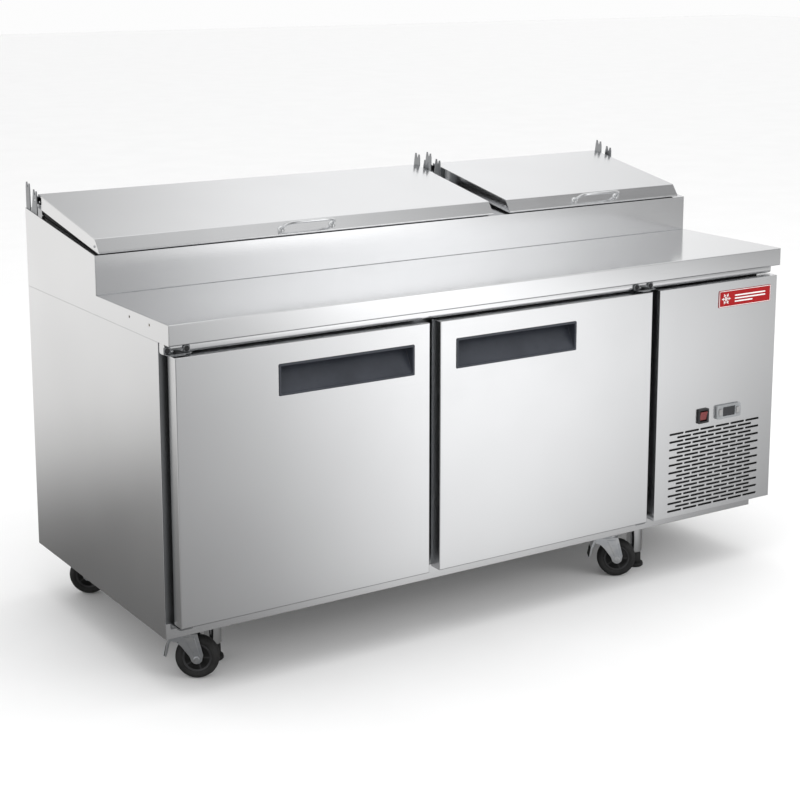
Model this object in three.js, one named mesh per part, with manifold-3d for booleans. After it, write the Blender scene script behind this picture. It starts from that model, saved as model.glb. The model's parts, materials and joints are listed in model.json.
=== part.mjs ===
// Refrigerated prep table: a two-door cold cabinet on casters, with a deep worktop, a raised rail of
// food pans under two hinged lids, and a compressor bay at the right-hand end.
// Millimetres, +Z up. Inside this file X starts at the worktop's left end, Y at its front edge and Z at
// the floor; the exported group moves the origin to the middle of the footprint.
import * as THREE from "three";
import { mergeVertices } from "three/addons/utils/BufferGeometryUtils.js";
import Module from "manifold-3d";

const wasm = await Module();
wasm.setup();

// ---- driving dimensions ----
const WIDTH = 1800; // over the worktop's ends
const DEPTH = 820; // worktop and cabinet, front edge to back
const PROUD = 10; // how far the controls stand out in front, and the cord gland behind
const DECK = 856; // height of the worktop
const EDGE = 46; // depth of the worktop's folded edge
const SHEET = 1.5; // folded steel sheet
const GAP = 0.3; // between pieces that touch
const FLOOR_GAP = 130; // underside of the cabinet
const BODY_FRONT = 54; // front face of the cabinet behind the doors
const COLD_RIGHT = 1372; // right-hand side of the insulated cabinet
const BAY_RIGHT = 1772; // right-hand side of the machine bay
const WALL = 48; // insulated wall, skin to liner
const FRAME_BACK = 84; // back of the front frame
const RISER_Y = 387; // front of the raised rail
const RISER_TOP = DECK + 93.5;
const BACK_TOP = DECK + 152;
const DOOR_BOTTOM = 169;
const DOOR_TOP = 783.5;
const DOOR_DEPTH = 38;
const DOORS = { left: [14, 670], right: [699, 1354] };
const OPENINGS = { left: [50, 650], right: [719, 1322] };
const OPENING_Z = [205, 750];
const PIVOT = { inset: 15, y: 20, r: 4 }; // door hinge pin from the door's outer edge and front
const CUPS = { left: [267, 625], right: [746, 1105] };
const CUP_Z = [665, 736];
const COVER = { x: [1378, 1790], z: [168, 784] };
const LIDS = { left: [8, 1125], right: [1180, 1770] };
const LID_PIN = { y: 758, z: 1034, r: 4 };
const HANDLE_X = { left: 563, right: 1476 };
const PAN = { width: 176, length: 325, rim: 8, sheet: 1.5 };
const PAN_ROWS = {
  left: { x: 54, count: 6, depth: 150 },
  right: { x: 1211, count: 3, depth: 100 },
};
const WHEEL = { r: 51, half: 16, trail: 28 };
const TRAIL_ANGLE = -32.7; // degrees, the way all four casters trail
const CASTERS = {
  front_left: { at: [79, 122], leg: [100, 60], brake: true },
  front_right: { at: [1309, 110], leg: [116, 20], brake: true },
  back_left: { at: [79, 752], leg: [100, -60], brake: false },
  back_right: { at: [1309, 752], leg: [116, -20], brake: false },
};

const SLOPE = Math.atan2(BACK_TOP - RISER_TOP, DEPTH - RISER_Y);
const roofAt = (y) => RISER_TOP + (y - RISER_Y) * Math.tan(SLOPE);

// ---- finishes ----
const FINISHES = {
  steel: { color: 0xc6c8cb, metalness: 1, roughness: 0.3 },
  dark_steel: { color: 0x8d9095, metalness: 1, roughness: 0.4 },
  chrome: { color: 0xe2e4e6, metalness: 1, roughness: 0.12 },
  zinc: { color: 0xb9bcc0, metalness: 1, roughness: 0.35 },
  aluminium: { color: 0xb4b7ba, metalness: 1, roughness: 0.45 },
  copper: { color: 0xb5683c, metalness: 1, roughness: 0.35 },
  foam: { color: 0xd8c89a, metalness: 0, roughness: 0.9 },
  grey_plastic: { color: 0x5d6470, metalness: 0, roughness: 0.5 },
  black_plastic: { color: 0x191a1c, metalness: 0, roughness: 0.5 },
  black_rubber: { color: 0x151516, metalness: 0, roughness: 0.8 },
  black_paint: { color: 0x1d1e20, metalness: 0.2, roughness: 0.5 },
  red: { color: 0xb0181c, metalness: 0, roughness: 0.4 },
  light_plastic: { color: 0xc9c6bf, metalness: 0, roughness: 0.5 },
};

// ---- solids ----
function solid(geometry) {
  geometry.deleteAttribute("normal");
  geometry.deleteAttribute("uv");
  const merged = mergeVertices(geometry, 1e-4);
  const corners = [];
  for (let i = 0; i < merged.index.count; i += 3) {
    const [a, b, c] = [0, 1, 2].map((k) => merged.index.getX(i + k));
    if (a !== b && b !== c && a !== c) corners.push(a, b, c);
  }
  return new wasm.Manifold(
    new wasm.Mesh({
      numProp: 3,
      vertProperties: new Float32Array(merged.attributes.position.array),
      triVerts: new Uint32Array(corners),
    }),
  );
}

function box([x0, x1], [y0, y1], [z0, z1]) {
  const geometry = new THREE.BoxGeometry(x1 - x0, y1 - y0, z1 - z0);
  geometry.translate((x0 + x1) / 2, (y0 + y1) / 2, (z0 + z1) / 2);
  return solid(geometry);
}

// A round bar along axis "x", "y" or "z", from lo to hi, centred on the point at.
function bar(axis, r, [lo, hi], at, sides = 12) {
  const geometry = new THREE.CylinderGeometry(r, r, hi - lo, sides);
  if (axis === "x") geometry.rotateZ(-Math.PI / 2);
  if (axis === "z") geometry.rotateX(Math.PI / 2);
  const centre = new THREE.Vector3(...at);
  centre[axis] = (lo + hi) / 2;
  geometry.translate(centre.x, centre.y, centre.z);
  return solid(geometry);
}

const PLANES = {
  x: [[0, 1, 0], [0, 0, 1], [1, 0, 0]],
  y: [[0, 0, 1], [1, 0, 0], [0, 1, 0]],
  z: [[1, 0, 0], [0, 1, 0], [0, 0, 1]],
};

// An outline pushed along axis from lo to hi. Its points are (y, z) for x, (z, x) for y, (x, y) for z.
function prism(axis, points, [lo, hi]) {
  const outline = new THREE.Shape(points.map(([a, b]) => new THREE.Vector2(a, b)));
  const geometry = new THREE.ExtrudeGeometry(outline, { depth: hi - lo, bevelEnabled: false });
  geometry.translate(0, 0, lo);
  const basis = PLANES[axis].map((v) => new THREE.Vector3(...v));
  geometry.applyMatrix4(new THREE.Matrix4().makeBasis(...basis));
  return solid(geometry);
}

// A round rod or pipe through a smooth line of points.
function rod(points, r, steps = 20, sides = 8) {
  const path = new THREE.CatmullRomCurve3(
    points.map((p) => new THREE.Vector3(...p)),
    false,
    "centripetal",
  );
  const section = new THREE.Shape();
  section.absarc(0, 0, r, 0, 2 * Math.PI);
  return solid(
    new THREE.ExtrudeGeometry(section, {
      steps,
      curveSegments: sides / 2,
      bevelEnabled: false,
      extrudePath: path,
    }),
  );
}

// A turned shape: [radius, height] points from the axis out and back to it.
function turned(points, sides = 24) {
  const profile = points.map(([r, h]) => new THREE.Vector2(r, h));
  const geometry = new THREE.LatheGeometry(profile, sides);
  geometry.rotateX(Math.PI / 2);
  return solid(geometry);
}

const join = (...solids) => solids.reduce((all, one) => all.add(one));
const cut = (body, ...tools) => tools.reduce((left, tool) => left.subtract(tool), body);
const inset = ([lo, hi], by) => [lo + by, hi - by];
const times = (count, make) => Array.from({ length: count }, (_, i) => make(i));

// A solid turned by degrees about an axis through the origin, then moved.
function placed(body, { turn = 0, about = "z", at = [0, 0, 0] }) {
  const turns = { x: [turn, 0, 0], y: [0, turn, 0], z: [0, 0, turn] };
  return body.rotate(turns[about]).translate(at);
}

const table = new THREE.Group();
table.position.set(-WIDTH / 2, -DEPTH / 2, 0);

// Adds one named piece, at the origin of the group given.
function piece(name, body, finish, group = table) {
  const { vertProperties, triVerts } = body.getMesh();
  const geometry = new THREE.BufferGeometry();
  geometry.setAttribute("position", new THREE.BufferAttribute(vertProperties, 3));
  geometry.setIndex(new THREE.BufferAttribute(triVerts, 1));
  geometry.computeVertexNormals();
  const material = new THREE.MeshStandardMaterial({ ...FINISHES[finish], flatShading: true });
  const mesh = new THREE.Mesh(geometry, material);
  mesh.name = name;
  group.add(mesh);
}

// ---- cabinet ----
const underTop = DECK - EDGE - GAP; // everything below the worktop stops here
const linerDepth = WALL + 2.3; // from the cabinet's skin to the back of the liner
const lining = {
  x: inset([0, COLD_RIGHT], linerDepth),
  y: [FRAME_BACK + GAP, DEPTH - linerDepth],
  z: [FLOOR_GAP + linerDepth, underTop],
};
const shelfZ = 470;
const shelfLedge = { wide: 6, thick: 4 };

function outerShell() {
  const outside = box([0, COLD_RIGHT], [BODY_FRONT, DEPTH], [FLOOR_GAP, underTop]);
  const inside = box(
    inset([0, COLD_RIGHT], SHEET),
    [BODY_FRONT - 1, DEPTH - SHEET],
    [FLOOR_GAP + SHEET, underTop + 1],
  );
  return cut(outside, inside);
}

function foamCore() {
  const skin = SHEET + GAP;
  const outside = box(
    inset([0, COLD_RIGHT], skin),
    [FRAME_BACK + GAP, DEPTH - skin],
    [FLOOR_GAP + skin, underTop],
  );
  const hollow = box(
    inset(lining.x, -GAP),
    [FRAME_BACK, lining.y[1] + GAP],
    [lining.z[0] - GAP, underTop + 1],
  );
  return cut(join(outside, frameFill(SHEET + GAP, FRAME_BACK + 2 * GAP)), hollow);
}

function innerLiner() {
  const hollow = box(
    inset(lining.x, SHEET),
    [lining.y[0] - 1, lining.y[1] - SHEET],
    [lining.z[0] + SHEET, underTop + 1],
  );
  const level = [shelfZ - shelfLedge.thick - GAP, shelfZ - GAP];
  const run = [lining.y[0] + 60, lining.y[1] - 30];
  const reach = SHEET + shelfLedge.wide;
  const ledges = [
    box([lining.x[0] + 1, lining.x[0] + reach], run, level),
    box([lining.x[1] - reach, lining.x[1] - 1], run, level),
    box([655, 715], [lining.y[1] - 40, lining.y[1] - 1], level),
  ];
  return join(cut(box(lining.x, lining.y, lining.z), hollow), ...ledges);
}

const hingeX = {
  left: DOORS.left[0] + PIVOT.inset,
  right: DOORS.right[1] - PIVOT.inset,
};
const ear = { half: 17, thick: 3, front: 6, gap: 1.8 };
const lipTop = 167; // of the narrow base lip below the doors
const stripFront = 24; // of the strip between worktop and doors
const stripFoot = 786;

// The ring of space inside the front frame's folded sheet, smaller by an amount all round.
function frameFill(by, back) {
  const margin = SHEET + GAP + by;
  const y = [BODY_FRONT + GAP + by, back];
  const ring = box(inset([0, COLD_RIGHT], margin), y, [FLOOR_GAP + margin, underTop - by]);
  const openings = Object.values(OPENINGS).map((x) =>
    box(inset(x, -by), [y[0] - 1, back + 1], inset(OPENING_Z, -by)),
  );
  return cut(ring, ...openings);
}

function frontFrame() {
  const side = SHEET + GAP;
  const face = [BODY_FRONT + GAP, FRAME_BACK];
  const frame = box([side, COLD_RIGHT - side], face, [FLOOR_GAP + side, underTop]);
  const openings = Object.values(OPENINGS).map((x) =>
    box(x, [face[0] - 1, face[1] + 1], OPENING_Z),
  );
  const joint = [BODY_FRONT - SHEET, BODY_FRONT + SHEET];
  const along = [side, COLD_RIGHT - side];
  const lip = join(
    box([0, BAY_RIGHT - 2], [BODY_FRONT - SHEET, BODY_FRONT - GAP], [FLOOR_GAP, lipTop]),
    box(along, joint, [FLOOR_GAP + side, lipTop]),
  );
  const strip = join(
    box([side, COVER.x[1]], [stripFront, BODY_FRONT - GAP], [stripFoot, underTop]),
    box(along, joint, [stripFoot, underTop]),
  );
  const ears = Object.values(hingeX).flatMap((x) =>
    [DOOR_TOP + ear.gap, DOOR_BOTTOM - ear.gap - ear.thick].flatMap((z) => {
      const plate = box([x - ear.half, x + ear.half], [ear.front, BODY_FRONT + SHEET], [z, z + ear.thick]);
      const middle = (DOOR_TOP + DOOR_BOTTOM) / 2;
      const reach = z > middle ? [z - 14, z + 1] : [z + 1, z + 17];
      return [plate, bar("z", PIVOT.r, reach, [x, PIVOT.y, 0])];
    }),
  );
  const folded = cut(frame, ...openings, frameFill(SHEET, FRAME_BACK + 1));
  return join(folded, strip, lip, ...ears);
}

// ---- worktop and raised rail ----
const topSpan = [SHEET + GAP, WIDTH - SHEET - GAP];

function worktop() {
  const outside = box(topSpan, [0, RISER_Y - GAP], [DECK - EDGE, DECK]);
  const under = box(inset(topSpan, SHEET), [SHEET, RISER_Y], [DECK - EDGE - 1, DECK - SHEET]);
  return cut(outside, under);
}

function worktopCore() {
  return box(
    inset(topSpan, SHEET + GAP),
    [SHEET + GAP, RISER_Y - GAP],
    [DECK - EDGE + GAP, DECK - SHEET - GAP],
  );
}

function endPanel(side) {
  const outline = [
    [0, DECK - EDGE],
    [DEPTH, DECK - EDGE],
    [DEPTH, BACK_TOP],
    [RISER_Y, RISER_TOP],
    [RISER_Y, DECK],
    [0, DECK],
  ];
  const x = side === "left" ? [0, SHEET] : [WIDTH - SHEET, WIDTH];
  const holes = [96, 201].map((y) => bar("x", 3.2, [x[0] - 1, x[1] + 1], [0, y, DECK - 16], 12));
  return cut(prism("x", outline, x), ...holes);
}

const roofWindows = Object.values(PAN_ROWS).map((row) =>
  inset([row.x, row.x + row.count * PAN.width], -2),
);
const panFront = 32; // up the slope from the riser

// Turns a piece drawn flat, with its y up the slope, onto the slope of the roof.
const onRoof = (body) =>
  placed(body, {
    turn: THREE.MathUtils.radToDeg(SLOPE),
    about: "x",
    at: [0, RISER_Y, RISER_TOP],
  });

// An upright plate that tapers to two tips. Those beside a lid's hinge pin have a hole for it.
function forkedPost({ x, y, height }) {
  const front = y - 12;
  const back = Math.min(y + 24, DEPTH - 2);
  const foot = (at) => roofAt(at) - 1;
  const top = roofAt(y) + height;
  const outline = [
    [front, foot(front)],
    [back, foot(back)],
    [y + 13, top - 12],
    [y + 10, top],
    [y + 6, top],
    [y + 2, top - 13],
    [y - 2, top - 13],
    [y - 6, top - 3],
    [y - 10, top - 3],
    [front, top - 14],
  ];
  const plate = prism("x", outline, [x, x + 2.5]);
  if (y !== LID_PIN.y) return plate;
  return cut(plate, bar("x", LID_PIN.r + 0.6, [x - 1, x + 4], [0, y, LID_PIN.z]));
}

const POSTS = [
  { x: 2.3, y: 804, height: 68 },
  { x: 2.3, y: LID_PIN.y, height: 60 },
  { x: 1132, y: LID_PIN.y, height: 80 },
  { x: 1132, y: 712, height: 71 },
  { x: 1170.5, y: LID_PIN.y, height: 80 },
  { x: 1170.5, y: 712, height: 71 },
  { x: 1787, y: LID_PIN.y, height: 78 },
  { x: 1787, y: 712, height: 70 },
];

function railHood() {
  const outline = (front, back, drop, foot) => [
    [front, foot],
    [back, foot],
    [back, roofAt(back) - drop],
    [front, roofAt(front) - drop],
  ];
  const outside = prism("x", outline(RISER_Y, DEPTH, 0, DECK - EDGE), topSpan);
  const [wall, roof] = [3, 2.5];
  const hollow = prism(
    "x",
    outline(RISER_Y + wall, DEPTH - wall, roof, DECK - EDGE - 1),
    inset(topSpan, wall),
  );
  const windows = roofWindows.map((x) =>
    onRoof(box(x, [panFront - 2, panFront + PAN.length + 2], [-6, 6])),
  );
  const posts = POSTS.map(forkedPost);
  return join(cut(outside, hollow, ...windows), ...posts);
}

// The room that a row of pans takes up, drawn flat, larger by an amount all round.
function panRoom(row, by, levels) {
  const x = [row.x + PAN.rim, row.x + row.count * PAN.width - PAN.rim];
  const y = [panFront + PAN.rim, panFront + PAN.length - PAN.rim];
  return box(inset(x, -by), inset(y, -by), levels);
}

function panFrame() {
  const across = inset(topSpan, 12.4);
  const plate = box(across, [panFront - PAN.rim, panFront + PAN.length + PAN.rim], [-8, -2.8]);
  const windows = Object.values(PAN_ROWS).map((row) => panRoom(row, 0.6, [-9, 0]));
  return onRoof(cut(plate, ...windows));
}

// A row of pans side by side, as a trough with a divider between neighbours.
function foodPans(side) {
  const row = PAN_ROWS[side];
  const rim = { x: [row.x, row.x + row.count * PAN.width], z: [-2.5, -0.5] };
  const flange = box(rim.x, [panFront, panFront + PAN.length], rim.z);
  const trough = panRoom(row, 0, [-row.depth, rim.z[0] + 1]);
  const hollow = panRoom(row, -PAN.sheet, [-row.depth + PAN.sheet, 1]);
  const dividers = times(row.count - 1, (i) => {
    const x = row.x + (i + 1) * PAN.width;
    const y = [panFront + PAN.rim + 1, panFront + PAN.length - PAN.rim - 1];
    return box([x - PAN.sheet, x + PAN.sheet], y, [-row.depth + 1, rim.z[1]]);
  });
  return onRoof(join(cut(join(flange, trough), hollow), ...dividers));
}

// ---- lids ----
function lid(side) {
  const x = LIDS[side];
  const outline = [
    [378, DECK + 97],
    [386, DECK + 97],
    [753, DECK + 159],
    [751, DECK + 194],
    [402, DECK + 130],
  ];
  const t = 1.6;
  const hollow = [
    [381.5, DECK + 90],
    [751.2, DECK + 150],
    [751 - t, DECK + 194 - t * 1.2],
    [402 + t, DECK + 130 - t],
    [381.5, DECK + 101],
  ];
  const shell = cut(prism("x", outline, x), prism("x", hollow, inset(x, t)));
  const earAt = { y: [728, 766], z: [LID_PIN.z - 10, LID_PIN.z + 9] };
  const ears = [x[0], x[1] - 3].map((at) => box([at, at + 3], earAt.y, earAt.z));
  const outer = side === "left" ? [2.4, LIDS.left[0] + 2] : [1170.6, LIDS.right[0] + 2];
  const inner = side === "left" ? [LIDS.left[1] - 2, 1134.4] : [LIDS.right[1] - 2, 1789.4];
  const pins = [outer, inner].map((reach) =>
    bar("x", LID_PIN.r, reach, [0, LID_PIN.y, LID_PIN.z], 12),
  );
  return join(shell, ...ears, ...pins);
}

// A round bar that stands out square from the sloping nose of the lid, on two small feet.
function lidHandle(side) {
  const half = 72;
  const path = [
    [0, 393, 966.5],
    [0, 380, 976],
    [3, 371, 982.5],
    [14, 366, 986],
    [48, 365, 986.7],
  ];
  const points = [
    ...path.map(([x, y, z]) => [x - half, y, z]),
    ...path.map(([x, y, z]) => [half - x, y, z]).reverse(),
  ];
  const grip = rod(points, 3.5, 20, 8);
  const noseTurn = 54; // degrees, from straight up to square on the nose
  const feet = [-half, half].map((x) =>
    placed(bar("z", 6.5, [-1, 2.5], [0, 0, 0], 8), { turn: noseTurn, about: "x", at: [x, 390, 969] }),
  );
  const nose = prism(
    "x",
    [
      [378 - GAP, DECK + 97],
      [402 - GAP, DECK + 130],
      [420, DECK + 130],
      [420, DECK + 80],
      [378 - GAP, DECK + 80],
    ],
    [-100, 100],
  );
  return cut(join(grip, ...feet), nose).translate([HANDLE_X[side], 0, 0]);
}

// ---- doors ----
const doorFill = (by) => [DOOR_BOTTOM + by, DOOR_TOP - by];

function pinHoles(side) {
  const at = [hingeX[side], PIVOT.y, 0];
  return [
    bar("z", PIVOT.r + 0.5, [DOOR_TOP - 16, DOOR_TOP + 1], at),
    bar("z", PIVOT.r + 0.5, [DOOR_BOTTOM - 1, DOOR_BOTTOM + 18], at),
  ];
}

function doorSkin(side) {
  const x = DOORS[side];
  const outside = box(x, [0, DOOR_DEPTH], doorFill(0));
  const inside = box(inset(x, SHEET), [SHEET, DOOR_DEPTH + 1], doorFill(SHEET));
  const mouth = box(CUPS[side], [-1, SHEET + 1], CUP_Z);
  return cut(outside, inside, mouth, ...pinHoles(side));
}

const cupDepth = 34;

function doorCore(side) {
  const skin = SHEET + GAP;
  const panel = box(inset(DOORS[side], skin), [skin, DOOR_DEPTH + 2], doorFill(skin));
  const pocket = box(CUPS[side], [0, cupDepth + GAP], CUP_Z);
  return cut(panel, pocket, ...pinHoles(side));
}

function doorGasket(side) {
  const x = inset(DOORS[side], 17);
  const z = inset([DOOR_BOTTOM, DOOR_TOP], 16);
  const y = [DOOR_DEPTH + 2 + GAP, BODY_FRONT - GAP];
  const bead = [y[0] + 4, y[1] - 3];
  const strip = cut(box(x, y, z), box(inset(x, 24), [30, 60], inset(z, 24)));
  const groove = cut(
    box(inset(x, -1), bead, inset(z, -1)),
    box(inset(x, 5), [30, 60], inset(z, 5)),
  );
  return cut(strip, groove);
}

// A pocket whose floor slopes in from its lower lip to a deep top edge that fingers pull on.
function handleCup(side) {
  const x = inset(CUPS[side], GAP);
  const z = inset(CUP_Z, GAP);
  const block = box(x, [-1.5, cupDepth], z);
  const recess = [
    [-3, z[0] + 4],
    [1, z[0] + 4],
    [cupDepth - 4, z[1] - 12],
    [cupDepth - 4, z[1] - 4],
    [-3, z[1] - 4],
  ];
  return cut(block, prism("x", recess, inset(x, 4)));
}

// ---- machine bay ----
function machineBayFrame() {
  const x = [COLD_RIGHT + GAP, BAY_RIGHT];
  const y = [BODY_FRONT + 2 * SHEET + GAP, DEPTH];
  const base = box(x, y, [FLOOR_GAP, FLOOR_GAP + SHEET]);
  const side = box([x[1] - SHEET, x[1]], y, [FLOOR_GAP, underTop]);
  const back = box(x, [y[1] - SHEET, y[1]], [FLOOR_GAP, underTop]);
  const roof = box(x, [FRAME_BACK + GAP, y[1]], [778, 778 + SHEET]);
  const vents = times(8, (i) =>
    box([1440, 1700], [DEPTH - 5, DEPTH + 1], [300 + i * 24, 308 + i * 24]),
  );
  const cordHole = bar("y", 8 + GAP, [DEPTH - 5, DEPTH + 1], GLAND, 12);
  return cut(join(base, side, back, roof), ...vents, cordHole);
}

const GLAND = [1700, 0, 220];

function cordGland() {
  const flange = bar("y", 13, [DEPTH + GAP, DEPTH + 4], GLAND, 12);
  const sleeve = bar("y", 8, [DEPTH - 14, DEPTH + PROUD], GLAND, 12);
  const bore = bar("y", 4, [DEPTH - 15, DEPTH + PROUD + 1], GLAND, 12);
  return cut(join(flange, sleeve), bore);
}

const SWITCH = { x: [1519, 1556], z: [411, 450] };
const CONTROL = { x: [1583, 1668], z: [414, 451] };
const GRILLE = { x0: 1424, pitch: 54, slot: 49, z0: 182, rowPitch: 10.5, rows: 21, high: 5.4 };

function grilleSlots() {
  return times(GRILLE.rows, (row) => {
    const offset = row % 2;
    const z = GRILLE.z0 + row * GRILLE.rowPitch;
    return times(6 - offset, (i) => {
      const x = GRILLE.x0 + (i + offset / 2) * GRILLE.pitch;
      return box([x, x + GRILLE.slot], [-1, SHEET + 1], [z, z + GRILLE.high]);
    });
  }).flat();
}

function frontCover() {
  const outside = box(COVER.x, [0, BODY_FRONT - SHEET - GAP], COVER.z);
  const inside = box(inset(COVER.x, SHEET), [SHEET, BODY_FRONT], inset(COVER.z, SHEET));
  const cutouts = [SWITCH, CONTROL].map((c) => box(inset(c.x, 2), [-1, 3], inset(c.z, 2)));
  return cut(outside, inside, ...cutouts, ...grilleSlots());
}

function badge() {
  const plate = box([1581, 1767], [-1.8, -GAP], [716, 761]);
  const field = box(inset([1581, 1767], 5), [-2, -1.3], inset([716, 761], 5));
  return cut(plate, field);
}

// A moulded housing: a flange in front of the cover and a body through the cut-out.
function panelHousing({ x, z }, proud, deep, hollow) {
  const flange = box(x, [-proud, -GAP], z);
  const body = box(inset(x, 2 + GAP), [-2, deep], inset(z, 2 + GAP));
  return cut(join(flange, body), ...hollow);
}

const rockerSpace = { x: inset(SWITCH.x, 6), z: inset(SWITCH.z, 5) };

function switchHousing() {
  const pocket = box(rockerSpace.x, [-PROUD, 12], rockerSpace.z);
  return panelHousing(SWITCH, 6, 24, [pocket]);
}

function powerRocker() {
  const [z0, z1] = inset(rockerSpace.z, 3);
  const middle = (z0 + z1) / 2;
  const outline = [
    [z0, -2.5],
    [middle, -4.5],
    [z1, -8.5],
    [z1, -4],
    [middle + 4, 6],
    [middle - 4, 6],
    [z0, 0],
  ];
  const [x0, x1] = inset(rockerSpace.x, 0.6);
  const flipped = outline.map(([z, y]) => [y, z]);
  return prism("x", flipped, [x0, x1]);
}

const KEYS = { left: [1589, 1600], right: [1651, 1662] };
const keyZ = [424, 441];

function controllerHousing() {
  const window = box([1604, 1647], [-9, -5.5], [420, 445]);
  const keyWells = Object.values(KEYS).map((x) =>
    box(inset(x, -0.5), [-9, 0], inset(keyZ, -0.5)),
  );
  return panelHousing(CONTROL, 8, 40, [window, ...keyWells]);
}

const controllerKey = (side) => box(KEYS[side], [-PROUD, -2.5], keyZ);

function compressor() {
  const dome = [
    [0, 0],
    [62, 0],
    [74, 14],
    [76, 22],
    [76, 108],
    [74, 116],
    [62, 140],
    [40, 156],
    [0, 162],
  ];
  const body = turned(dome, 20).translate([1600, 560, FLOOR_GAP + 22]);
  const plate = box([1515, 1685], [500, 620], [FLOOR_GAP + 18, FLOOR_GAP + 24]);
  const feet = [1528, 1672].flatMap((x) =>
    [512, 608].map((y) => bar("z", 10, [FLOOR_GAP + SHEET + GAP, FLOOR_GAP + 20], [x, y, 0], 10)),
  );
  const terminals = box([1660, 1712], [530, 590], [200, 262]);
  return join(body, plate, ...feet, terminals);
}

const COIL = { x: [1440, 1720], y: [110, 150], z: [160, 430] };

function condenserCoil() {
  const { x, y, z } = COIL;
  const foot = [FLOOR_GAP + SHEET + GAP, z[0] + 2];
  const plates = [x[0] - 3, x[1]].map((at) => box([at, at + 3], [y[0] - 6, y[1] + 6], [foot[0], z[1]]));
  const fins = times(7, (i) => {
    const at = x[0] + 32 + i * 35;
    return box([at, at + 3], y, z);
  });
  const pipes = times(3, (i) =>
    box([x[0] - 10, x[1] + 10], [y[0] + 12, y[1] - 12], [z[0] + 40 + i * 90, z[0] + 50 + i * 90]),
  );
  return join(...plates, ...pipes, ...fins);
}

const FAN = { x: 1580, z: 295, r: 105 };

function condenserFanShroud() {
  const sheet = box([1442, 1718], [157, 159], [FLOOR_GAP + SHEET + GAP, 430]);
  const mouth = bar("y", FAN.r + 5, [150, 170], [FAN.x, 0, FAN.z], 24);
  const arms = [
    box([FAN.x - 115, FAN.x + 115], [158, 160], [FAN.z - 5, FAN.z + 5]),
    box([FAN.x - 5, FAN.x + 5], [158, 160], [FAN.z - 115, FAN.z + 115]),
  ];
  const motor = bar("y", 34, [157, 176], [FAN.x, 0, FAN.z], 16);
  const shaft = bar("y", 4, [170, 206], [FAN.x, 0, FAN.z], 12);
  return join(cut(sheet, mouth), ...arms, motor, shaft);
}

// A fan wheel about the +Y axis: a hub with pitched blades.
function fanWheel(r, hub, depth, blades, bore) {
  const vane = placed(box([-r * 0.3, r * 0.3], [-1, 1], [hub - 2, r]), { turn: 32, about: "z" });
  const vanes = times(blades, (i) =>
    placed(vane, { turn: (360 / blades) * i, about: "y" }),
  );
  const body = bar("y", hub, [-depth / 2, depth / 2], [0, 0, 0], 16);
  const round = bar("y", r, [-depth, depth], [0, 0, 0], 24);
  const trimmed = join(...vanes).intersect(round);
  return cut(join(body, trimmed), bar("y", bore, [-depth, depth], [0, 0, 0], 12));
}

function refrigerantLine() {
  const points = [
    [1512, 560, 240],
    [1480, 540, 250],
    [1450, 480, 260],
    [1415, 380, 270],
    [1400, 240, 290],
    [1402, 160, 330],
    [1412, 136, 360],
  ];
  return rod(points, 4, 16, 8);
}

// ---- inside the cold compartment ----
const EVAPORATOR = { x: [1240, 1319.9], y: [290, 700], z: [530, 768] };
const evaporatorFan = { y: 495, z: 650, r: 70 };

function evaporatorHousing() {
  const { x, y, z } = EVAPORATOR;
  const t = 2;
  const shell = cut(
    box(x, y, z),
    box([x[0] + t, x[1] + 1], inset(y, t), inset(z, t)),
    bar("x", evaporatorFan.r + 6, [x[0] - 1, x[0] + t + 1], [0, evaporatorFan.y, evaporatorFan.z], 32),
    ...times(6, (i) => box([x[0] - 1, x[0] + t + 1], [320, 390], [560 + 32 * i, 570 + 32 * i])),
  );
  const strut = box([x[1] - 14, x[1] - 10], y, [evaporatorFan.z - 6, evaporatorFan.z + 6]);
  const at = [0, evaporatorFan.y, evaporatorFan.z];
  const motor = bar("x", 24, [x[1] - 40, x[1] - 12], at, 16);
  const shaft = bar("x", 3, [x[0] + 8, x[1] - 30], at, 10);
  return join(shell, strut, motor, shaft);
}

const shelfSpan = { left: [53.5, 683], right: [687, 1318.5] };

function shelf(side) {
  const x = shelfSpan[side];
  const y = [150, 758];
  const level = [shelfZ, shelfZ + 6];
  const edge = cut(box(x, y, level), box(inset(x, 6), inset(y, 6), [shelfZ - 1, shelfZ + 8]));
  const wires = times(7, (i) => {
    const at = x[0] + ((x[1] - x[0]) / 8) * (i + 1);
    return box([at - 1.5, at + 1.5], inset(y, 3), [shelfZ + 2.5, shelfZ + 5.5]);
  });
  const brace = box(inset(x, 3), [450, 456], [shelfZ + 1, shelfZ + 3.5]);
  return join(edge, brace, ...wires);
}

// ---- casters and legs ----
// Each caster is drawn about its swivel axis, trailing along +X, and its group turns it.
const fork = { inside: 18, outside: 20.5, top: 112, raceway: 118 };
const LEG_R = 20.6;

function cornerMount({ leg: [lx, ly] }) {
  const level = [FLOOR_GAP - 4.3, FLOOR_GAP - GAP];
  const ordered = (a, b) => [Math.min(a, b), Math.max(a, b)];
  const plate = box([-46, 46], [-38, 38], level);
  const tongue = box([0, lx], ordered(0, ly + Math.sign(ly) * 12), level);
  const flange = bar("z", 32, level, [lx, ly, 0], 16);
  const race = bar("z", 28, [fork.raceway, level[1]], [0, 0, 0], 16);
  const kingpinHole = bar("z", 5.6, [fork.raceway - 1, level[1] - 2], [0, 0, 0], 10);
  const tube = bar("z", LEG_R, [40, level[1]], [lx, ly, 0], 20);
  const thread = bar("z", 6.5, [39, 100], [lx, ly, 0], 10);
  return cut(join(plate, tongue, flange, race, tube), kingpinHole, thread);
}

const pedalPin = { x: -25, z: 101, r: 2.5 };

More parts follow.
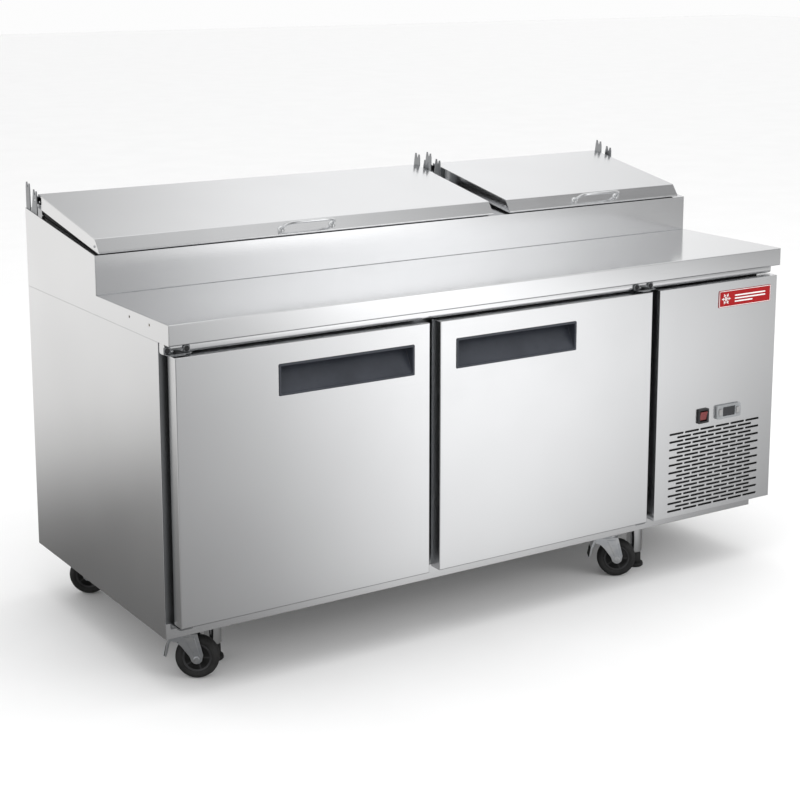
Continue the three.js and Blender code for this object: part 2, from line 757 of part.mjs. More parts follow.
function casterFork(brake) {
  const cheek = [
    [112, -32],
    [112, 30],
    [60, 43],
    [44, 39],
    [38, 28],
    [44, 17],
    [60, 13],
    [92, -20],
    [94, -32],
  ];
  const cheeks = [
    [fork.inside, fork.outside],
    [-fork.outside, -fork.inside],
  ].map((y) => prism("y", cheek, y));
  const bridge = box([-32, 30], [-fork.outside, fork.outside], [fork.top - 3, fork.top]);
  const head = bar("z", 26, [fork.top - 1, fork.raceway - 0.5], [0, 0, 0], 16);
  const kingpin = bar("z", 5, [fork.top, FLOOR_GAP - 8], [0, 0, 0], 10);
  const at = [WHEEL.trail, 0, WHEEL.r];
  const axle = bar("y", 4.2, [-fork.outside - 4, fork.outside + 4], at, 12);
  const bolts = [
    [fork.outside - 0.5, fork.outside + 4],
    [-fork.outside - 4, -fork.outside + 0.5],
  ].map((reach) => bar("y", 7.5, reach, at, 6));
  const body = join(...cheeks, bridge, head, kingpin, axle, ...bolts);
  const pinHole = bar("y", pedalPin.r + 0.4, [-30, 30], [pedalPin.x, 0, pedalPin.z], 12);
  return brake ? cut(body, pinHole) : body;
}

function casterWheel() {
  const w = WHEEL.half;
  const profile = [
    [4.5, -w],
    [37, -w + 3],
    [38, -w],
    [46, -w],
    [51, -w + 6],
    [51, w - 6],
    [46, w],
    [38, w],
    [37, w - 3],
    [4.5, w],
    [4.5, -w],
  ];
  const rolled = turned(profile, 24).rotate([90, 0, 0]);
  return rolled.translate([WHEEL.trail, 0, WHEEL.r]);
}

function brakePedal() {
  const outline = [
    [108, -22],
    [104, -33],
    [84, -41],
    [56, -46],
    [54, -42],
    [81, -36],
    [97, -28],
    [96, -20],
  ];
  const reach = fork.inside - 0.6;
  const lever = prism("y", outline, [-reach, reach]);
  const pin = bar("y", pedalPin.r, [-fork.outside, fork.outside], [pedalPin.x, 0, pedalPin.z], 12);
  return join(lever, pin);
}

function legFoot() {
  const stem = bar("z", 6, [12, 80], [0, 0, 0], 10);
  const nut = bar("z", 11, [12, 21], [0, 0, 0], 6);
  const pad = turned(
    [
      [0, 0],
      [25, 0],
      [25, 8],
      [19, 12.5],
      [0, 12.5],
    ],
    16,
  );
  return join(stem, nut, pad);
}

// ---- assembly ----
piece("outer_shell", outerShell(), "steel");
piece("foam_core", foamCore(), "foam");
piece("inner_liner", innerLiner(), "aluminium");
piece("front_frame", frontFrame(), "dark_steel");
piece("worktop", worktop(), "steel");
piece("worktop_core", worktopCore(), "foam");
piece("rail_hood", railHood(), "steel");
piece("pan_frame", panFrame(), "dark_steel");
piece("machine_bay_frame", machineBayFrame(), "steel");
piece("front_cover", frontCover(), "steel");
piece("badge", badge(), "red");
piece("switch_housing", switchHousing(), "black_plastic");
piece("power_rocker", powerRocker(), "red");
piece("controller_housing", controllerHousing(), "grey_plastic");
piece("cord_gland", cordGland(), "black_plastic");
piece("compressor", compressor(), "black_paint");
piece("condenser_coil", condenserCoil(), "aluminium");
piece("condenser_fan_shroud", condenserFanShroud(), "zinc");
piece("refrigerant_line", refrigerantLine(), "copper");
piece("evaporator_housing", evaporatorHousing(), "aluminium");

const condenserFan = new THREE.Group();
condenserFan.position.set(FAN.x, 197, FAN.z);
table.add(condenserFan);
piece("condenser_fan_blade", fanWheel(FAN.r, 18, 22, 5, 4.5), "aluminium", condenserFan);

const coldFan = new THREE.Group();
coldFan.position.set(EVAPORATOR.x[0] + 18, evaporatorFan.y, evaporatorFan.z);
coldFan.rotation.z = -Math.PI / 2;
table.add(coldFan);
piece("evaporator_fan_blade", fanWheel(evaporatorFan.r, 12, 14, 5, 3.5), "black_plastic", coldFan);

for (const side of ["left", "right"]) {
  piece(`end_panel_${side}`, endPanel(side), "steel");
  piece(`food_pans_${side}`, foodPans(side), "steel");
  piece(`lid_${side}`, lid(side), "steel");
  piece(`lid_handle_${side}`, lidHandle(side), "chrome");
  piece(`door_skin_${side}`, doorSkin(side), "steel");
  piece(`door_core_${side}`, doorCore(side), "foam");
  piece(`door_gasket_${side}`, doorGasket(side), "black_rubber");
  piece(`handle_cup_${side}`, handleCup(side), "grey_plastic");
  piece(`controller_key_${side}`, controllerKey(side), "light_plastic");
  piece(`shelf_${side}`, shelf(side), "chrome");
}

for (const [corner, caster] of Object.entries(CASTERS)) {
  const fixed = new THREE.Group();
  fixed.position.set(...caster.at, 0);
  table.add(fixed);
  piece(`corner_mount_${corner}`, cornerMount(caster), "zinc", fixed);

  const foot = new THREE.Group();
  foot.position.set(...caster.leg, 0);
  fixed.add(foot);
  piece(`leg_foot_${corner}`, legFoot(), "black_rubber", foot);

  const swivel = new THREE.Group();
  swivel.rotation.z = THREE.MathUtils.degToRad(TRAIL_ANGLE);
  fixed.add(swivel);
  piece(`caster_fork_${corner}`, casterFork(caster.brake), "zinc", swivel);
  piece(`caster_wheel_${corner}`, casterWheel(), "black_rubber", swivel);
  if (caster.brake) piece(`brake_pedal_${corner}`, brakePedal(), "black_paint", swivel);
}

export default table;
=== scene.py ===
import json
import math

import bmesh
import bpy
from mathutils import Matrix, Vector

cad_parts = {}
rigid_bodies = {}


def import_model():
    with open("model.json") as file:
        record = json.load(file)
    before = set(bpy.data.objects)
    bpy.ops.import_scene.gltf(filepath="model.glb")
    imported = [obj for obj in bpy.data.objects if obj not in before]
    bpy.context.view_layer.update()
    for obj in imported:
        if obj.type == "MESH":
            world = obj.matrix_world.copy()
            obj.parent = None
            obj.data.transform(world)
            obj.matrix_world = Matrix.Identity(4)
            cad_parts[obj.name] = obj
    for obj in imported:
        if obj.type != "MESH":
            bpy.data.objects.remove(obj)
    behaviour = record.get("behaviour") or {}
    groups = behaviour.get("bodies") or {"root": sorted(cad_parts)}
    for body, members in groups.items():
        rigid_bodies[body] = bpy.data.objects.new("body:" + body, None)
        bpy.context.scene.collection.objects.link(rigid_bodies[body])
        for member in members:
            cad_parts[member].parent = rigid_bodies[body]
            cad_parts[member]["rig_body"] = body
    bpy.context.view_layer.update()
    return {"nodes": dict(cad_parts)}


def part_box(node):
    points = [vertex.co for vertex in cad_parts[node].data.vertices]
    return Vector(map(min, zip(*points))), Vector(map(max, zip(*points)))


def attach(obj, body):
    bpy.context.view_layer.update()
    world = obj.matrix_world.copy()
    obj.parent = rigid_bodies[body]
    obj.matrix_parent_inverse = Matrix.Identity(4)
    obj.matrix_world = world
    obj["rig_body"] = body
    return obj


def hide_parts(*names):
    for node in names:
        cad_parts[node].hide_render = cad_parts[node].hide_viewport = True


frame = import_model()
nodes = frame["nodes"]
scene = bpy.context.scene

# Shapes below are given in millimetres: X from the worktop's left end, Y from its front edge and
# Z from the floor. ORIGIN is that corner in the frame.
MM = 0.001
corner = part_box("end_panel_left")[0]
ORIGIN = Vector((corner.x, corner.y, 0.0))


# Where a CAD node reaches along X, Y and Z.
def span(node):
    lo, hi = (((c - ORIGIN) / MM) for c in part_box(node))
    return [(lo[i], hi[i]) for i in range(3)]


def inset(pair, by):
    return (pair[0] + by, pair[1] - by)


# ---- materials ----
def add(tree, kind, inputs=None, **props):
    node = tree.nodes.new(kind)
    for key, value in props.items():
        setattr(node, key, value)
    for key, value in (inputs or {}).items():
        if isinstance(value, bpy.types.NodeSocket):
            tree.links.new(value, node.inputs[key])
        else:
            node.inputs[key].default_value = value
    return node


def rgba(colour):
    return (*colour, 1.0)


def noise(tree, where, scale, detail, roughness):
    inputs = {"Vector": where, "Scale": scale, "Detail": detail, "Roughness": roughness}
    return add(tree, "ShaderNodeTexNoise", inputs).outputs["Fac"]


# A value stretched from one range to another, without going past its ends.
def ranged(tree, value, low, high, first=0.0, last=1.0, ease="LINEAR"):
    inputs = {"Value": value, "From Min": low, "From Max": high, "To Min": first, "To Max": last}
    return add(tree, "ShaderNodeMapRange", inputs, interpolation_type=ease).outputs["Result"]


def maths(tree, operation, *values):
    return add(tree, "ShaderNodeMath", dict(enumerate(values)), operation=operation).outputs["Value"]


# Two colours mixed by a factor. Of a Mix node's sockets, only the colour ones are used.
def blend(tree, factor, first, second):
    node = add(tree, "ShaderNodeMix", {0: factor}, data_type="RGBA")
    sockets = [s for s in node.inputs if s.type == "RGBA"]
    for socket, value in zip(sockets, (first, second)):
        if isinstance(value, bpy.types.NodeSocket):
            tree.links.new(value, socket)
        else:
            socket.default_value = rgba(value)
    return [s for s in node.outputs if s.type == "RGBA"][0]


# How far a place lies on a worn edge, from 0 to 0.8. The radius is the width of the wear.
def edge_mask(tree, radius):
    normal = add(tree, "ShaderNodeNewGeometry").outputs["Normal"]
    rounded_off = add(tree, "ShaderNodeBevel", {"Radius": radius * MM}, samples=4).outputs["Normal"]
    dot = add(tree, "ShaderNodeVectorMath", {0: normal, 1: rounded_off}, operation="DOT_PRODUCT")
    return ranged(tree, dot.outputs["Value"], 0.995, 0.93, 0.0, 0.8)


# A finish: two tones in soft patches, fine grain that drives roughness and relief, smudges that
# roughen it in spots, and worn edges of a third tone.
def surface(name, tones, rough, grain=(300, 300, 300), metal=0.0, patches=3.0, relief=0.05,
            deep=0.0002, worn=None, coat=0.0, specular=0.5, smudge=0.04):
    material = bpy.data.materials.new(name)
    material.use_nodes = True
    tree = material.node_tree
    where = add(tree, "ShaderNodeTexCoord").outputs["Object"]
    stretched = add(tree, "ShaderNodeMapping", {"Vector": where, "Scale": grain})
    fine = noise(tree, stretched.outputs["Vector"], 1.0, 4.0, 0.6)
    broad = noise(tree, where, patches, 3.0, 0.55)
    spots = noise(tree, where, patches * 4.7, 5.0, 0.6)
    colour = blend(tree, ranged(tree, broad, 0.35, 0.65), *tones)
    if worn:
        tone, radius = worn
        broken = maths(tree, "MULTIPLY", edge_mask(tree, radius), spots)
        colour = blend(tree, broken, colour, tone)
    grained = ranged(tree, fine, 0.3, 0.7, *rough)
    marks = ranged(tree, spots, 0.45, 0.75, 0.0, smudge)
    bump = add(tree, "ShaderNodeBump", {"Height": fine, "Strength": relief, "Distance": deep})
    shader = tree.nodes["Principled BSDF"]
    tree.links.new(colour, shader.inputs["Base Color"])
    tree.links.new(maths(tree, "ADD", grained, marks), shader.inputs["Roughness"])
    tree.links.new(bump.outputs["Normal"], shader.inputs["Normal"])
    for socket, value in (("Metallic", metal), ("Specular IOR Level", specular),
                          ("Coat Weight", coat), ("Coat Roughness", 0.15)):
        shader.inputs[socket].default_value = value
    return material


# Brushed steel's two tones, and its grain along X, along Y and level on an upright face.
STEEL = ((0.76, 0.765, 0.775), (0.80, 0.805, 0.815))
ALONG_X = (5, 420, 420)
ALONG_Y = (420, 5, 420)
LEVEL = (5, 5, 420)
M = {
    "steel": surface("steel", STEEL, (0.155, 0.175), ALONG_X, 1.0, 1.6, relief=0.012,
                     smudge=0.02),
    "steel_top": surface("steel_top", STEEL, (0.12, 0.145), ALONG_X, 1.0, 1.6, relief=0.012,
                         smudge=0.02),
    "steel_side": surface("steel_side", STEEL, (0.2, 0.225), ALONG_Y, 1.0, 1.6, relief=0.015,
                          smudge=0.03),
    "steel_door": surface("steel_door", STEEL, (0.2, 0.225), LEVEL, 1.0, 1.3, relief=0.015,
                          smudge=0.03),
    # A darker copy of the steel, with painted shade, for surfaces that sit in shade: the worktop's
    # underside, the frame behind the doors, the pan frame, the hinge brackets and the hood's posts.
    "steel_painted_shade": surface("steel_painted_shade", ((0.30, 0.31, 0.32), (0.36, 0.37, 0.38)), (0.3, 0.4),
                          LEVEL, 1.0, 2.5),
    "pan": surface("pan", STEEL, (0.2, 0.24), (300, 300, 8), 1.0, 6, relief=0.015, smudge=0.03),
    "chrome": surface("chrome", ((0.78, 0.79, 0.8), (0.84, 0.85, 0.86)), (0.05, 0.1),
                      (60, 60, 60), 1.0, 12, relief=0.02),
    "zinc": surface("zinc", ((0.55, 0.57, 0.6), (0.68, 0.69, 0.7)), (0.26, 0.4),
                    (160, 160, 160), 1.0, 35, relief=0.2, worn=((0.8, 0.81, 0.82), 1.5)),
    "aluminium": surface("aluminium", ((0.62, 0.63, 0.64), (0.7, 0.71, 0.72)), (0.34, 0.46),
                         (200, 200, 200), 1.0, 5),
    "copper": surface("copper", ((0.62, 0.25, 0.13), (0.7, 0.34, 0.2)), (0.25, 0.4),
                      (200, 200, 200), 1.0, 20),
    "foam": surface("foam", ((0.62, 0.52, 0.3), (0.7, 0.6, 0.38)), (0.8, 0.95),
                    (220, 220, 220), 0.0, 9, relief=0.6, deep=0.001),
    "liner": surface("liner", ((0.66, 0.67, 0.68), (0.72, 0.73, 0.74)), (0.33, 0.43),
                     (90, 90, 90), 1.0, 4, relief=0.35, deep=0.0006),
    "cup": surface("cup", ((0.026, 0.030, 0.040), (0.036, 0.041, 0.053)), (0.34, 0.44),
                   (900, 900, 900), 0.0, 14, relief=0.25, worn=((0.1, 0.11, 0.13), 1.2)),
    "plastic": surface("plastic", ((0.012, 0.012, 0.013), (0.02, 0.02, 0.022)), (0.38, 0.5),
                       (800, 800, 800), 0.0, 14, relief=0.2, worn=((0.08, 0.08, 0.085), 1.0)),
    "grey": surface("grey", ((0.24, 0.25, 0.26), (0.3, 0.31, 0.32)), (0.35, 0.45),
                    (800, 800, 800), 0.0, 20, relief=0.2),
    "key": surface("key", ((0.26, 0.26, 0.26), (0.33, 0.33, 0.33)), (0.35, 0.45),
                   (700, 700, 700), 0.0, 30, relief=0.2),
    "red": surface("red", ((0.30, 0.004, 0.006), (0.36, 0.007, 0.009)), (0.4, 0.5),
                   (500, 500, 500), 0.0, 18, relief=0.08, specular=0.2),
    "rocker": surface("rocker", ((0.16, 0.03, 0.03), (0.22, 0.05, 0.05)), (0.24, 0.34),
                      (500, 500, 500), 0.0, 18, relief=0.08),
    "hub": surface("hub", ((0.018, 0.018, 0.019), (0.03, 0.03, 0.032)), (0.35, 0.5),
                   (500, 500, 500), 0.0, 20, relief=0.2),
    "white": surface("white", ((0.78, 0.78, 0.77), (0.86, 0.86, 0.85)), (0.3, 0.4),
                     (500, 500, 500), 0.0, 18, relief=0.08),
    "paint": surface("paint", ((0.015, 0.015, 0.016), (0.03, 0.03, 0.031)), (0.4, 0.52),
                     (260, 260, 260), 0.0, 12, relief=0.3, worn=((0.22, 0.22, 0.22), 1.2)),
    "rubber": surface("rubber", ((0.012, 0.012, 0.012), (0.024, 0.024, 0.024)), (0.6, 0.75),
                      (500, 500, 500), 0.0, 25, relief=0.35, specular=0.3),
    "glass": surface("glass", ((0.008, 0.009, 0.012), (0.012, 0.013, 0.017)), (0.06, 0.12),
                     (300, 300, 300), 0.0, 20, relief=0.02, coat=0.6),
}


# ---- pieces ----
# Turns an outline's own (u, v, reach) to the frame, for a reach along X, Y or Z.
AXES = {
    "x": Matrix(((0, 0, 1), (1, 0, 0), (0, 1, 0))),
    "y": Matrix(((1, 0, 0), (0, 0, 1), (0, 1, 0))),
    "z": Matrix(((1, 0, 0), (0, 1, 0), (0, 0, 1))),
}
TO_FRAME = Matrix.Translation(ORIGIN) @ Matrix.Scale(MM, 4)


# Gives a piece its finish, rounded edges, smooth shading and body, and hides the nodes it stands
# for.
def finished(piece, body, finish, slot=None, stands_for=(), bevel=0.0, segments=2, smooth=35):
    mesh = piece.data
    mesh.materials.clear()
    mesh.materials.append(M[finish])
    if bevel:
        rounding = piece.modifiers.new("edges", "BEVEL")
        rounding.width = bevel * MM
        rounding.segments = segments
        rounding.limit_method = "ANGLE"
        rounding.angle_limit = math.radians(30)
        rounding.harden_normals = True
    mesh.shade_smooth()
    mesh.set_sharp_from_angle(angle=math.radians(smooth))
    even = piece.modifiers.new("even", "WEIGHTED_NORMAL")
    even.keep_sharp = True
    even.weight = 100
    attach(piece, body)
    if stands_for:
        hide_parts(*stands_for)
    return piece


# Outlines in a plane, as lists of 2D points.
def rounded(u, v, r, steps=4):
    corners = ((u[1] - r, v[0] + r, -90), (u[1] - r, v[1] - r, 0), (u[0] + r, v[1] - r, 90),
               (u[0] + r, v[0] + r, 180))
    points = []
    for cu, cv, start in corners:
        for k in range(steps + 1):
            a = math.radians(start + 90 * k / steps)
            points.append((cu + r * math.cos(a), cv + r * math.sin(a)))
    return points


def circle(centre, r, sides=24, start=0.0):
    angles = [start + 2 * math.pi * k / sides for k in range(sides)]
    return [(centre[0] + r * math.cos(a), centre[1] + r * math.sin(a)) for a in angles]


# Sections for Shape.turned: a rod, and a ring between two radii.
def rod(r, reach):
    return [(0, reach[0]), (r, reach[0]), (r, reach[1]), (0, reach[1])]


def ring(inner, outer, reach):
    return [(inner, reach[0]), (outer, reach[0]), (outer, reach[1]), (inner, reach[1]),
            (inner, reach[0])]


# The closed section of a sheet t thick, bent with radius r. The path is its outer face, and the
# sheet lies on the right-hand side of it.
def folded(path, t=1.5, r=2.6, steps=5):
    points = [Vector(p) for p in path]
    outer, inner = [], []
    for i, p in enumerate(points):
        if i in (0, len(points) - 1):
            along = (points[1] - points[0]) if i == 0 else (points[-1] - points[-2])
            along.normalize()
            outer.append(p)
            inner.append(p + Vector((along.y, -along.x)) * t)
            continue
        before = (p - points[i - 1]).normalized()
        after = (points[i + 1] - p).normalized()
        bend = math.atan2(before.cross(after), before.dot(after))
        towards = -1 if bend < 0 else 1
        start = p - before * (r * math.tan(abs(bend) / 2))
        centre = start + Vector((before.y, -before.x)) * (-towards * r)
        for k in range(steps + 1):
            spoke = Matrix.Rotation(bend * k / steps, 2) @ (start - centre)
            spoke.normalize()
            outer.append(centre + spoke * r)
            inner.append(centre + spoke * (r + towards * t))
    return [tuple(p) for p in outer + inner[::-1]]


# Collects closed solids, in millimetres, into one piece.
class Shape:
    def __init__(self):
        self.mesh = bmesh.new()

    # Adds a bmesh's faces as they are, and uses it up.
    def take(self, part):
        data = bpy.data.meshes.new("part")
        part.to_mesh(data)
        part.free()
        self.mesh.from_mesh(data)
        bpy.data.meshes.remove(data)
        return self

    def settle(self, part):
        bmesh.ops.recalc_face_normals(part, faces=part.faces)
        return self.take(part)

    def prism(self, axis, outline, reach):
        part = bmesh.new()
        turn = AXES[axis]
        ends = [[part.verts.new(turn @ Vector((u, v, w))) for u, v in outline] for w in reach]
        part.faces.new(ends[0])
        part.faces.new(ends[1])
        for i in range(len(outline)):
            j = (i + 1) % len(outline)
            part.faces.new((ends[0][i], ends[0][j], ends[1][j], ends[1][i]))
        return self.settle(part)

    def box(self, x, y, z):
        return self.prism("z", [(x[0], y[0]), (x[1], y[0]), (x[1], y[1]), (x[0], y[1])], z)

    # A turned solid: (radius, height) points, along an axis through centre.
    def turned(self, profile, centre, axis="z", sides=32):
        part = bmesh.new()
        turn = AXES[axis]
        rings = []
        for r, h in profile:
            if r < 1e-6:
                rings.append([part.verts.new(turn @ Vector((0, 0, h)))])
            else:
                rings.append([part.verts.new(turn @ Vector((u, v, h)))
                              for u, v in circle((0, 0), r, sides)])
        for a, b in zip(rings, rings[1:]):
            for i in range(sides):
                j = (i + 1) % sides
                loop = [a[i % len(a)], a[j % len(a)], b[j % len(b)], b[i % len(b)]]
                unique = list(dict.fromkeys(loop))
                if len(unique) > 2:
                    part.faces.new(unique)
        for ring in (rings[0], rings[-1]):
            if len(ring) > 1:
                part.faces.new(ring)
        bmesh.ops.translate(part, verts=part.verts, vec=Vector(centre))
        return self.settle(part)

    def from_curve(self, curve, turn=Matrix()):
        holder = bpy.data.objects.new("curve", curve)
        scene.collection.objects.link(holder)
        whole = holder.evaluated_get(bpy.context.evaluated_depsgraph_get())
        data = bpy.data.meshes.new_from_object(whole)
        bpy.data.objects.remove(holder)
        bpy.data.curves.remove(curve)
        data.transform(turn)
        part = bmesh.new()
        part.from_mesh(data)
        bpy.data.meshes.remove(data)
        bmesh.ops.remove_doubles(part, verts=part.verts, dist=1e-3)
        return self.settle(part)

    # A flat plate with holes. The first loop is its outline, the rest are holes.
    def sheet(self, axis, loops, reach, bevel=0.3, resolution=1):
        curve = bpy.data.curves.new("sheet", "CURVE")
        curve.dimensions = "2D"
        curve.fill_mode = "BOTH"
        curve.extrude = (reach[1] - reach[0]) / 2 - bevel
        curve.bevel_depth = bevel
        curve.bevel_resolution = resolution
        curve.offset = -bevel
        for loop in loops:
            spline = curve.splines.new("POLY")
            spline.points.add(len(loop) - 1)
            for point, (u, v) in zip(spline.points, loop):
                point.co = (u, v, 0, 1)
            spline.use_cyclic_u = True
        middle = Matrix.Translation((0, 0, (reach[0] + reach[1]) / 2))
        return self.from_curve(curve, AXES[axis].to_4x4() @ middle)

    # A round wire along points: an even curve near them when smooth, straight between them if not.
    def tube(self, points, r, smooth=True, sides=2, closed=False):
        curve = bpy.data.curves.new("tube", "CURVE")
        curve.dimensions = "3D"
        curve.bevel_depth = r
        curve.bevel_resolution = sides
        curve.use_fill_caps = True
        curve.resolution_u = 6
        spline = curve.splines.new("NURBS" if smooth else "POLY")
        spline.points.add(len(points) - 1)
        for point, place in zip(spline.points, points):
            point.co = (*place, 1)
        spline.use_cyclic_u = closed
        if smooth:
            spline.order_u = 4
            spline.use_endpoint_u = not closed
        return self.from_curve(curve)

    # A hexagon head with a washer, on an axis; out is +1 or -1 along it.
    def bolt(self, centre, axis, out, r=5.5, high=3.5):
        profile = [(r * 0.99, 0), (r, high * 0.75), (r * 0.8, high), (0, high)]
        self.turned([(0, 0), *[(a, h * out + 0.8 * out) for a, h in profile]], centre, axis, 6)
        return self.turned(rod(r * 1.5, (0, out)), centre, axis, 20)

    # A low domed screw head with a socket.
    def screw(self, centre, axis, out, r=4.0):
        profile = [(0, 0), (r, 0), (r * 0.95, 0.35 * r), (r * 0.7, 0.55 * r), (r * 0.42, 0.6 * r),
                   (r * 0.36, 0.25 * r), (0, 0.2 * r)]
        return self.turned([(a, h * out) for a, h in profile], centre, axis, 18)

    def place(self, matrix):
        bmesh.ops.transform(self.mesh, matrix=matrix, verts=self.mesh.verts)
        return self

    def done(self, name, body, finish, slot=None, stands_for=(), **looks):
        data = bpy.data.meshes.new(name)
        self.mesh.to_mesh(data)
        self.mesh.free()
        data.transform(TO_FRAME)
        piece = bpy.data.objects.new(name, data)
        scene.collection.objects.link(piece)
        return finished(piece, body, finish, slot, stands_for, **looks)


# A CAD node's own shape with its edges rounded.
def refined(node, finish, slot=None, bevel=0.6, smooth=35):
    work = bmesh.new()
    work.from_mesh(nodes[node].data)
    bmesh.ops.remove_doubles(work, verts=work.verts, dist=1e-6)
    bmesh.ops.dissolve_limit(work, angle_limit=math.radians(0.6), verts=work.verts,
                             edges=work.edges)
    mesh = bpy.data.meshes.new(node + "_skin")
    work.to_mesh(mesh)
    work.free()
    piece = bpy.data.objects.new(node + "_skin", mesh)
    scene.collection.objects.link(piece)
    return finished(piece, nodes[node]["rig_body"], finish, slot, (node,), bevel, smooth=smooth)


SIDES = ("left", "right")
SHEET = 1.5
TOP_X, TOP_Y, TOP_Z = span("worktop")
SHELL_X = span("outer_shell")[0]
COVER_X, COVER_Y, COVER_Z = span("front_cover")

# The hood's roof rises towards the back from its front edge.
ROOF_FRONT = (387.0, 949.5)
SLOPE = math.atan2(58.5, 433.0)
ON_ROOF = Matrix.Translation((0, *ROOF_FRONT)) @ Matrix.Rotation(SLOPE, 4, "X")


def roof_at(y):
    return ROOF_FRONT[1] + (y - ROOF_FRONT[0]) * math.tan(SLOPE)


# ---- worktop, hood and cabinet ----
HEM = 16
UNDER, DECK = TOP_Z
Shape().prism("x", folded([(HEM, UNDER), (0, UNDER), (0, DECK), (TOP_Y[1], DECK)]), TOP_X).done(
    "worktop_sheet", "cabinet", "steel_top", "stainless", ("worktop",), smooth=60)

# The tray under the worktop that closes in its core, in the darker steel with painted shade.
Shape().box(inset(TOP_X, 2), (2, TOP_Y[1] - 1), (UNDER - 0.2, UNDER + 0.2)).done(
    "worktop_underside", "cabinet", "steel_painted_shade", "stainless")

for node, finish, slot, bevel in (
    ("rail_hood", "steel", "stainless", 0.9),
    ("end_panel_left", "steel_side", "stainless", 0.5),
    ("end_panel_right", "steel_side", "stainless", 0.5),
    ("outer_shell", "steel_side", "stainless", 0.6),
    ("inner_liner", "liner", "liner_aluminium", 0.6),
    # The pan frame is in the darker steel with painted shade.
    ("pan_frame", "steel_painted_shade", "frame_steel", 0.5),
    ("compressor", "paint", "black_paint", 1.0),
    ("condenser_fan_shroud", "zinc", "zinc", 0.4),
    ("condenser_fan_blade", "aluminium", "liner_aluminium", 0.4),
    ("evaporator_fan_blade", "plastic", "black_plastic", 0.4),
    ("cord_gland", "plastic", "black_plastic", 0.8),
    ("power_rocker", "rocker", "rocker_red", 0.8),
    ("controller_key_left", "key", "key_plastic", 0.8),
    ("controller_key_right", "key", "key_plastic", 0.8),
):
    refined(node, finish, slot, bevel)

# The frame behind the doors, the strip above them and the lip below them.
FRAME_Y, FRAME_Z = (54.3, 84.0), (131.8, 809.7)
DOORWAY_X, DOORWAY_Z = {"left": (50, 650), "right": (719, 1322)}, (205, 750)
doorways = [rounded(DOORWAY_X[side], DOORWAY_Z, 4) for side in SIDES]
# The frame face is in the darker steel with painted shade.
Shape().sheet("y", [rounded((1.8, SHELL_X[1] - 1.8), FRAME_Z, 1), *doorways], FRAME_Y, 1.2).done(
    "front_frame_face", "cabinet", "steel_painted_shade", "frame_steel", ("front_frame",))
strip = rounded((24.0, 53.7), (786.0, FRAME_Z[1]), 8.5, 6)
Shape().prism("x", strip, (1.8, COVER_X[1])).done("door_strip", "cabinet", "steel", "stainless",
                                                  smooth=60)
Shape().box((0.4, 1770), (52.3, 53.8), (130.2, 167)).done(
    "base_lip", "cabinet", "steel_door", "stainless", bevel=0.5)

# The forked posts, which stand clear of the roof, get the darker steel with painted shade.
POST_CLEAR = 3
hood = bpy.data.objects["rail_hood_skin"].data
hood.materials.append(M["steel_painted_shade"])
for face in hood.polygons:
    middle = face.center / MM - ORIGIN / MM
    if middle.z > roof_at(middle.y) + POST_CLEAR:
        face.material_index = 1

# A thin bead of sealant closes the joint between the worktop and the riser.
riser = span("rail_hood")[1][0]
bead = [(x, riser - 0.2, DECK + 0.1) for x in inset(TOP_X, 1)]
Shape().tube(bead, 1.0, smooth=False).done("riser_bead", "cabinet", "grey", "stainless", smooth=60)

# ---- door hinges ----
HINGE_X = {"left": 29.0, "right": 1339.0}
HINGE_TOP, HINGE_BOTTOM = 785.3, 164.2
BARREL_Y = 20
brackets, cams, fixings = Shape(), Shape(), Shape()


# An arm out over the door's end, its barrel, and a flange with its face at the given reach of Y.
def hinge_arm(x, z, barrel, flange, face):
    brackets.sheet("z", [rounded((x - 17, x + 17), (6, 55.5), 6, 5)], (z, z + 3), 0.5)
    brackets.turned(rod(4, barrel), (x, BARREL_Y, 0), "z", 20)
    brackets.sheet("y", [rounded((x - 17, x + 17), flange, 2)], face, 0.4)


# The upper arm has a cross plate with two closing cartridges and a cap.
def top_hinge(x, z):
    hinge_arm(x, z, (z - 14, z), (z, z + 14), (21.4, 23.8))
    brackets.sheet("z", [rounded((x - 30, x + 30), (5, 24), 5, 5)], (z + 3, z + 5), 0.5)
    for side_x in (x - 23, x + 23):
        clip = rounded((side_x - 8, side_x + 8), (z + 2, z + 19), 3)
        brackets.sheet("y", [clip], (19.5, 23.8), 0.7)
        cams.turned([(0, 17.5), (5, 17.5), (6, 18.5), (6, 21), (0, 21)], (side_x, 0, z + 11.5),
                    "y", 20)
    cap = [(0, z + 5), (9, z + 5), (9, z + 8), (7.5, z + 9.5), (0, z + 9.5)]
    cams.turned(cap, (x, 14, 0), "z", 24)
    fixings.bolt((x, BARREL_Y, z + 3), "z", 1, 6.0, 1.2)
    for side_x in (x - 11, x + 11):
        fixings.screw((side_x, 21.4, z + 8), "y", -1, 3.2)


def bottom_hinge(x, z):
    hinge_arm(x, z, (z + 3, z + 17), (z - 11, z + 3), (50.2, 52.4))
    fixings.bolt((x, BARREL_Y, z), "z", -1, 6.0, 1.2)
    for side_x in (x - 11, x + 11):
        fixings.screw((side_x, 50.2, z - 4), "y", -1, 3.2)


for side in SIDES:
    top_hinge(HINGE_X[side], HINGE_TOP)
    bottom_hinge(HINGE_X[side], HINGE_BOTTOM)
# The brackets are in the darker steel with painted shade.
brackets.done("hinge_brackets", "cabinet", "steel_painted_shade", "zinc", bevel=0.3)
cams.done("hinge_cams", "cabinet", "plastic", "black_plastic")

